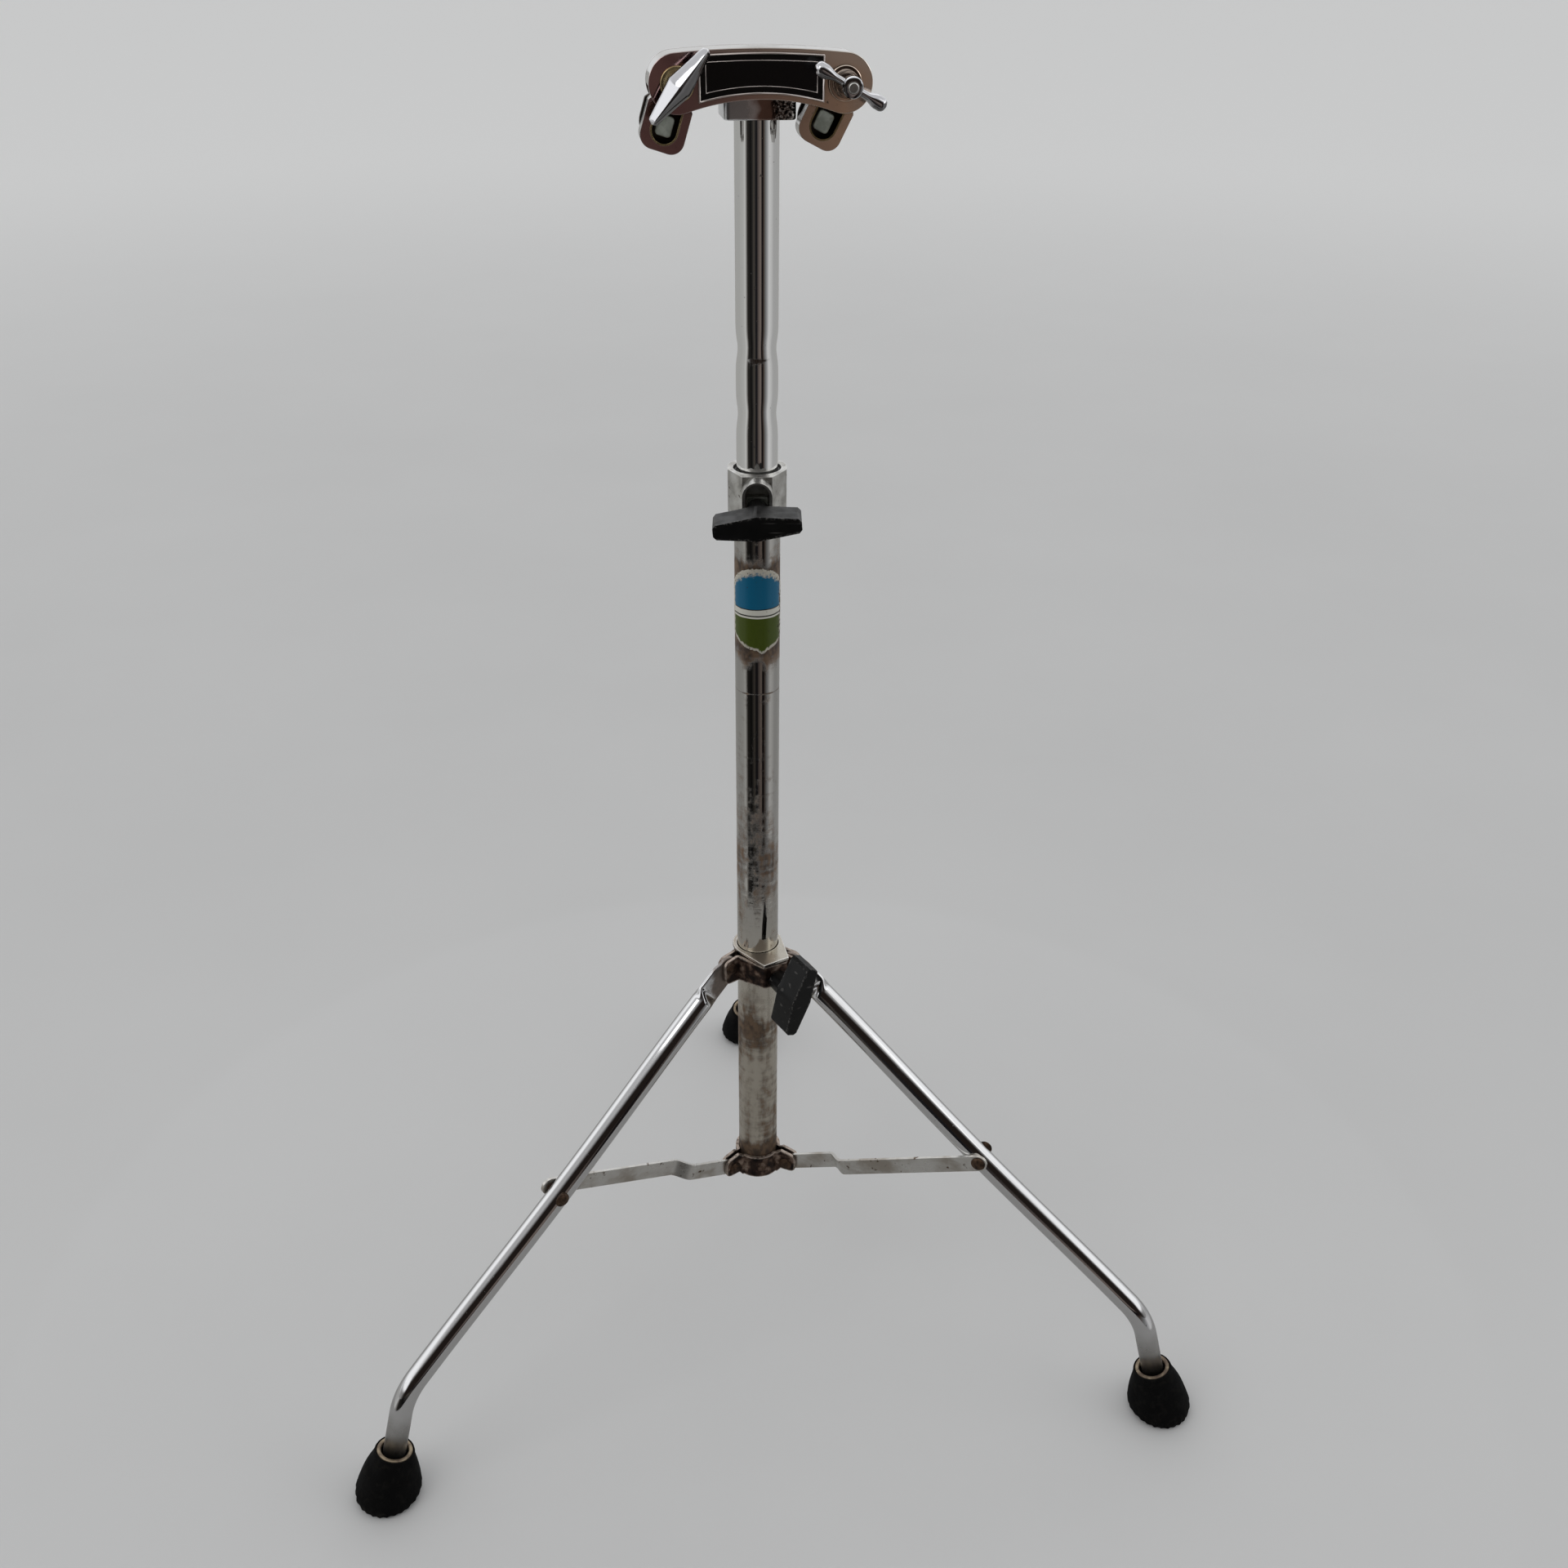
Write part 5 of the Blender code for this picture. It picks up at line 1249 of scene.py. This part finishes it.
def build_bracket():
    matrix = facing_frame()
    wall = SHELL_WALL
    edge = ARM_HEIGHT - 1.2
    inner = [point for point in arch_outline(wall) if point[1] > edge]
    reach = ARM + END_R + 5.0
    hollow = [(-reach, edge - 25.0), (reach, edge - 25.0), (reach, edge), (inner[0][0], edge)]
    hollow += inner + [(inner[-1][0], edge), (-reach, edge)]
    shapes = [('DIFFERENCE', prism(hollow, BRACKET_FRONT + wall, BRACKET_BACK + 1.0, matrix))]
    shapes += [('DIFFERENCE', bolt_hole(side, 10.0, 24.0)) for side in SIDES]
    block = prism(arch_outline(0.0), BRACKET_FRONT, BRACKET_BACK, matrix)
    add_piece("bracket_shell", block, "chrome_bracket", shapes, bevel=1.25, segments=5)
    low, high = node_box("bracket_back")
    half = half_width("tube_socket") + GAP
    notch_top = node_box("tube_socket")[1].z + GAP
    notch = [(-half, notch_top - 40.0), (half, notch_top - 40.0), (half, notch_top), (-half, notch_top)]
    shapes = [('DIFFERENCE', prism(notch, low.y - 1, high.y + 1, matrix))]
    shapes += [('DIFFERENCE', bolt_hole(side, -8.0, 2.0)) for side in SIDES]
    plate = prism(arch_outline(0.0), low.y, high.y, matrix)
    add_piece("bracket_back", plate, "chrome_bracket", shapes, bevel=0.6)


def badge_outline(inset):
    top_r, bottom_r = arch_radii()
    half = half_width("badge_panel") - inset
    low_r = bottom_r + 3.2 + inset
    high_r = top_r - 2.5 - inset
    lean = math.degrees(math.asin(half / high_r))
    under = math.degrees(math.asin(half / low_r))
    outline = arc((0, ARCH_TOP - ARCH_RISE - bottom_r), low_r, 90 + under, 90 - under, 36)
    return outline + arc((0, ARCH_TOP - top_r), high_r, 90 - lean, 90 + lean, 28)


def build_badge():
    """Black inlay with a thin bright frame; it carries no mark."""
    low, high = node_box("badge_panel")
    matrix = facing_frame()
    add_piece("badge_panel", prism(badge_outline(0.0), low.y, high.y, matrix), "badge_ink", bevel=0.25)
    for name, outer, inner, proud in (("badge_frame", -0.6, 0.1, 0.2), ("badge_line", 2.6, 2.9, 0.06)):
        ring = prism(badge_outline(outer), low.y - proud, low.y + 0.5, matrix)
        hole = prism(badge_outline(inner), low.y - 2, high.y, matrix)
        add_piece(name, ring, "trim_bright", [('DIFFERENCE', hole)], suffix="trim", body="upper_column")


def build_socket():
    low, high = node_box("tube_socket")
    block = prism(rounded_box(high.x, high.y, 3.0, 8), low.z, high.z, UPRIGHT)
    bore = rod(UPPER_R + GAP, low.z - 2, node_box("upper_tube")[1].z + GAP, UPRIGHT, 96)
    add_piece("tube_socket", block, "chrome_socket", [('DIFFERENCE', bore)], bevel=1.3, segments=4)


# ---------------------------------------------------------------- tilters, bolts and wings

def tilter_frame(side):
    return bolt_frame(side) @ Matrix.Rotation(math.radians(TILTS[side]), 4, 'Z')


def tab_outline(length, widen, corner):
    half, neck = TAB_HALF + widen, 8.5
    outline = arc((0, 0), neck, 0, 180, 30) + [(-neck, -7.0), (-half, -10.5)]
    outline += arc((corner - half, corner - length), corner, 180, 270, 12)
    outline += arc((half - corner, corner - length), corner, 270, 360, 12)
    return outline + [(half, -10.5), (neck, -7.0)]


def round_bottomed(half, top, bottom):
    return [(half, -top), (-half, -top)] + arc((0, half - bottom), half, 180, 360, 30)


def build_tilter(side):
    """Hollow tab with a rimmed window, its rear tab and the clamp block between them."""
    matrix = tilter_frame(side)
    low, high = node_box("tilter_" + side)
    back, front = -high.y, -low.y
    floor = front - TILTER_WALL
    inside = round_bottomed(TAB_HALF - 2.0, 9.5, TAB_LENGTH - 2.0)
    bolt = ('DIFFERENCE', bolt_hole(side, -1.0, 22.0))
    shapes = [('DIFFERENCE', prism(inside, back - 1.0, floor, matrix)),
              ('DIFFERENCE', prism(round_bottomed(*WINDOW), floor - 1.0, floor + 5.0, matrix)), bolt]
    tab = prism(tab_outline(TAB_LENGTH, 0.0, TAB_CORNER_R), back, front, matrix)
    add_piece("tilter_" + side, tab, "chrome_tilter", shapes, bevel=0.7)

    half, top, bottom = WINDOW
    half, top, bottom = half + 0.05, top - 0.1, bottom + 0.05
    rim = prism(round_bottomed(half, top, bottom), front - 1.2, front + 0.25, matrix)
    hole = round_bottomed(WINDOW[0] - WINDOW_RIM, WINDOW[1] + 0.6, WINDOW[2] - WINDOW_RIM)
    hole = prism(hole, front - 3.0, front + 2.0, matrix)
    add_piece("window_rim_" + side, rim, "brass_worn", [('DIFFERENCE', hole)], bevel=0.15, suffix="trim",
              body="tilter_" + side)

    low, high = node_box("rear_tab_" + side)
    outline = tab_outline(REAR_TAB_LENGTH, REAR_TAB_EXTRA, TAB_HALF + REAR_TAB_EXTRA)
    stud_frame = matrix @ Matrix.Translation((0, -BLOCK_BELOW, 0))
    stud_hole = ('DIFFERENCE', rod(BOLT_HOLE_R, 0.0, 8.0, stud_frame))
    bolt = ('DIFFERENCE', bolt_hole(side, -1.0, 22.0))
    tab = prism(outline, -high.y, -low.y, matrix)
    # dark tint: painted shade seen through the window
    add_piece("rear_tab_" + side, tab, "chrome_dark", [stud_hole, bolt], bevel=0.5)

    block = prism(rounded_box(4.0, 4.8, 1.8, 6), 5.6, 13.4, stud_frame)
    stud = rod(BOLT_R, 0.6, 7.0, stud_frame)
    add_piece("clamp_block_" + side, block, "zinc_pale", [('UNION', stud)], bevel=0.8, segments=4)


def build_bolt(side):
    matrix = bolt_frame(side)
    low, high = node_box("pivot_bolt_" + side)
    head_low, seat = -high.y, -high.y + 3.6
    hexagon = [(x, y) for x, y, _ in circle(5.6, 6)]
    shank = [(BOLT_R, seat - 1.0), (BOLT_R, 18.0)]
    for i in range(int(-low.y - 19.0)):
        shank += [(BOLT_R - 0.3, 18.3 + i), (BOLT_R, 18.6 + i), (BOLT_R, 18.9 + i)]
    shank += [(BOLT_R, -low.y - 0.5), (BOLT_R - 0.5, -low.y)]
    add_piece("pivot_bolt_" + side, prism(hexagon, head_low, seat, matrix), "chrome_cast",
              [('UNION', turned(shank, 32, matrix))], bevel=0.3)
    low, high = node_box("washer_" + side)
    wall = sleeve(BOLT_HOLE_R, half_width("washer_" + side), -high.y, -low.y, 0.6, 64, matrix)
    add_piece("washer_" + side, wall, "brass_worn" if side == "left" else "chrome_tilter")


def wing_outline(half, middle, end, steps):
    """Lozenge with round tips, as points at equal shares of its length."""
    upper = []
    for i in range(steps + 1):
        x = -half + 2 * half * i / steps
        y = middle + (end - middle) * abs(x) / (half - end)
        beyond = max(0.0, abs(x) - half + end)
        upper.append((x, min(y, math.sqrt(max(0.02, end * end - beyond * beyond)) if beyond else y)))
    return upper + [(x, -y) for x, y in reversed(upper)]


def build_left_wing():
    """Cast lozenge wing with a ridge from tip to tip that rises to a peak in the middle."""
    matrix = bolt_frame("left") @ Matrix.Rotation(math.radians(LEFT_WING_TURN), 4, 'Z')
    half = 20.7
    outline = wing_outline(half, 6.0, 2.5, 40)
    rings = []
    layers = ((29.6, 0.86, 0.97, 0.0), (30.8, 1.0, 1.0, 0.0), (33.6, 1.0, 1.0, 0.0),
              (34.8, 0.92, 0.99, 0.3), (37.6, 0.16, 0.95, 2.4), (37.8, 0.03, 0.94, 2.5))
    for z, narrow, shorten, peak in layers:
        ring = []
        tip_drop = 0.35 * (z - 34.2) if z > 35 else 0.0
        for x, y in outline:
            rise = peak * (1.0 - abs(x) / half) - tip_drop * max(0.0, abs(x) / half - 0.55)
            ring.append(matrix @ Vector((x * shorten, y * narrow, z + rise)))
        rings.append(ring)
    neck = turned([(5.2, 21.1), (5.2, 22.0), (4.7, 23.2), (4.4, 26.0), (4.4, 32.0)], 48, matrix)
    socket = rod(BOLT_HOLE_R, 20.0, 36.4, matrix)
    shapes = [('UNION', neck), ('DIFFERENCE', socket)]
    add_piece("wing_bolt_left", skin(rings), "chrome_wing", shapes, bevel=0.3)


def build_right_wing():
    """Wing nut: stepped hub with two paddle wings that swell towards round ends."""
    matrix = bolt_frame("right") @ Matrix.Rotation(math.radians(RIGHT_WING_TURN), 4, 'Z')
    hub = [(6.4, 21.1), (6.4, 22.3), (6.0, 23.4), (5.6, 25.4), (5.4, 27.0), (4.9, 33.0), (4.6, 36.0), (4.9, 38.5),
           (4.9, 40.6), (4.5, 41.6), (3.6, 42.0)]
    wings = []
    for direction in (1, -1):
        rings = []
        for i in range(25):
            share = i / 24
            x = 2.0 + 17.0 * share
            beyond = max(0.0, x - 16.2)
            swell = 1.9 + 1.4 * smooth((x - 8.0) / 6.0)
            round_off = math.sqrt(max(0.02, 1.0 - (beyond / 2.8) ** 2))
            ring = []
            for k in range(24):
                angle = 2 * math.pi * k / 24
                ring.append(matrix @ Vector((direction * x, swell * round_off * math.cos(angle),
                                             35.0 + 4.0 * round_off * math.sin(angle))))
            rings.append(ring)
        wings.append(('UNION', skin(rings)))
    bore = rod(BOLT_HOLE_R, 20.0, 43.0, matrix)
    shapes = wings + [('DIFFERENCE', bore)]
    add_piece("wing_nut_right", turned(hub, 48, matrix), "chrome_wing", shapes, bevel=0.25)


# ---------------------------------------------------------------- studio

def new_stage_object(name, mesh_data):
    mesh = bpy.data.meshes.new(name)
    mesh_data.to_mesh(mesh)
    mesh_data.free()
    thing = bpy.data.objects.new(name, mesh)
    bpy.context.scene.collection.objects.link(thing)
    return thing


def build_floor():
    """Large pale floor, level with the soles."""
    mesh = bmesh.new()
    bmesh.ops.create_circle(mesh, cap_ends=True, segments=96, radius=30.0)
    floor = new_stage_object("studio_floor", mesh)
    floor.location.z = FLOOR * MM
    g = material("floor_pale")
    colour = g.mix(g.noise(2.2, 4.0), (0.60, 0.60, 0.595), (0.66, 0.66, 0.655))
    reach = g.vector('LENGTH', {0: g.spot()})
    colour = g.mix(g.step(reach, 0.6, 6.0), colour, (0.93, 0.93, 0.92))
    colour = g.mix(g.node("LightPath", output="Is Glossy Ray"), colour, (0.36, 0.355, 0.345))
    g.finish(colour, 0.75, 0.0, g.noise(30.0, 3.0), 0.0002)
    floor.data.materials.append(MATERIALS["floor_pale"])


CARD_START, CARD_END = -278.0, 82.0


def build_dark_card():
    """Dark card in front of the stand that only reflections see, striped along its radius."""
    near, far = 0.51, 28.0
    mesh = bmesh.new()
    steps = 180
    rows = []
    for i in range(steps + 1):
        out = radial(CARD_START + (CARD_END - CARD_START) * i / steps)
        rows.append([mesh.verts.new(out * near), mesh.verts.new(out * far)])
    for a, b in zip(rows, rows[1:]):
        mesh.faces.new((a[0], b[0], b[1], a[1]))
    card = new_stage_object("dark_card", mesh)
    card.location.z = FLOOR * MM + 0.002
    card.visible_camera = False
    card.visible_diffuse = False
    card.visible_shadow = False
    g = material("card_dark")
    spot = g.spot()
    angle = g.part(spot, "X")
    other = g.part(spot, "Y")
    turn = g.math('ARCTAN2', other, angle)
    turn = turn - g.math('GREATER_THAN', turn, math.radians(CARD_END)) * (2 * math.pi)
    share = g.span(turn, math.radians(CARD_START), math.radians(CARD_END))
    stripes = [(-278, (0.36, 0.36, 0.35)), (-200, (0.38, 0.38, 0.37)), (-172, (0.42, 0.42, 0.41)),
               (-160, (0.52, 0.52, 0.51)), (-154, (0.24, 0.23, 0.22)), (-147, (0.022, 0.020, 0.018)),
               (-127, (0.006, 0.006, 0.006)), (-118, (0.03, 0.028, 0.026)), (-111, (0.062, 0.054, 0.046)),
               (-105, (0.016, 0.015, 0.016)), (-96, (0.008, 0.008, 0.010)), (-92, (0.065, 0.054, 0.050)),
               (-86, (0.105, 0.085, 0.078)), (-81, (0.15, 0.122, 0.108)), (-76, (0.16, 0.13, 0.115)),
               (-72, (0.010, 0.008, 0.008)), (-66, (0.006, 0.005, 0.006)), (-61, (0.055, 0.040, 0.032)),
               (-52, (0.15, 0.15, 0.15)), (-43, (0.27, 0.27, 0.275)), (-30, (0.58, 0.58, 0.58)),
               (-14, (0.50, 0.50, 0.50)), (0, (0.38, 0.38, 0.38)), (82, (0.36, 0.36, 0.35))]
    stripes = [((turn - CARD_START) / (CARD_END - CARD_START), colour) for turn, colour in stripes]
    colour = g.ramp(share, stripes)
    shine = g.node("Emission", {"Color": colour, "Strength": 1.0})
    g.node("OutputMaterial", {"Surface": shine})
    card.data.materials.append(MATERIALS["card_dark"])


def build_world():
    """Soft studio surroundings: bright above, pale behind, dark warm brown low in front."""
    world = bpy.data.worlds.new("studio")
    world.use_nodes = True
    bpy.context.scene.world = world
    g = Graph(world.node_tree)
    way = g.node("TexCoord", output="Generated")
    y = g.part(way, "Y")
    z = g.part(way, "Z")
    front = g.step(y, -0.45, -0.78)
    side = g.step(y, 0.5, -0.4)
    around = g.mix(side, (1.75, 1.77, 1.80), (0.62, 0.61, 0.60))
    around = g.mix(front, around, (0.036, 0.027, 0.023))
    above = g.step(z, 0.46, 0.76)
    seen = g.mix(above, around, (1.45, 1.46, 1.48))
    reach = g.math('ABSOLUTE', g.part(way, "X"))
    panel = g.step(reach, 0.64, 0.8) * g.step(z, 0.12, 0.24)
    panel = panel * g.step(z, 0.58, 0.46)
    seen = g.mix(panel, seen, (2.5, 2.52, 2.55))
    camera_ray = g.node("LightPath", output="Is Camera Ray")
    colour = g.mix(camera_ray, seen, (0.93, 0.94, 0.94))
    surface = g.node("Background", {"Color": colour, "Strength": 0.45})
    g.node("OutputWorld", {"Surface": surface})


def add_area_light(name, place, target, size, energy):
    data = bpy.data.lights.new(name, 'AREA')
    data.shape = 'RECTANGLE'
    data.size, data.size_y = size
    data.energy = energy
    thing = bpy.data.objects.new(name, data)
    bpy.context.scene.collection.objects.link(thing)
    thing.location = place
    thing.rotation_mode = 'QUATERNION'
    thing.rotation_quaternion = (Vector(target) - Vector(place)).to_track_quat('-Z', 'Y')


def build_lights():
    middle = (0.0, 0.0, 0.3)
    add_area_light("key", (-1.5, -0.9, 2.3), middle, (1.4, 1.0), 6.5)
    add_area_light("fill", (1.7, -0.5, 1.7), middle, (1.2, 1.2), 2.5)
    add_area_light("back", (0.2, 1.9, 2.3), middle, (2.4, 0.8), 3.5)


def build_camera():
    """Camera in front of the stand and a little to its left, looking down at it."""
    place = Vector((-0.1020, -0.8216, 0.7572))
    azimuth, pitch, roll = math.radians(81.83), math.radians(-29.09), math.radians(0.464)
    level = math.cos(pitch)
    way = Vector((math.cos(azimuth) * level, math.sin(azimuth) * level, math.sin(pitch)))
    data = bpy.data.cameras.new("camera")
    data.sensor_width = 36.0
    data.lens = 36.51
    data.clip_start = 0.01
    camera = bpy.data.objects.new("camera", data)
    bpy.context.scene.collection.objects.link(camera)
    turn = way.to_track_quat('-Z', 'Y').to_matrix().to_4x4() @ Matrix.Rotation(roll, 4, 'Z')
    camera.matrix_world = Matrix.Translation(place) @ turn
    bpy.context.scene.camera = camera
    bpy.context.scene.view_settings.view_transform = 'Standard'


# ---------------------------------------------------------------- assembly

def build_object():
    make_materials()
    build_tubes()
    build_end_plug()
    build_label()
    build_hub()
    build_collar()
    for leg, azimuth in AZIMUTHS.items():
        build_leg(leg, azimuth)
        build_brace(leg, azimuth)
        build_foot(leg, azimuth)
    build_height_clamp()
    build_bush()
    build_t_knob("clamp", clamp_screw_frame(), 5.8, 22.2, 37.5, 13.0, 5.0)
    build_t_knob("collar", collar_screw_frame(), 6.5, 25.6, 36.5, 13.1, 70.0)
    for node in ("clamp_nut", "collar_nut"):
        keep_node(node, "zinc_dull", 0.3)
    build_bracket()
    build_badge()
    build_socket()
    for side in SIDES:
        build_tilter(side)
        build_bolt(side)
    build_left_wing()
    build_right_wing()


build_object()
build_floor()
build_dark_card()
build_world()
build_lights()
build_camera()

bpy.context.view_layer.update()
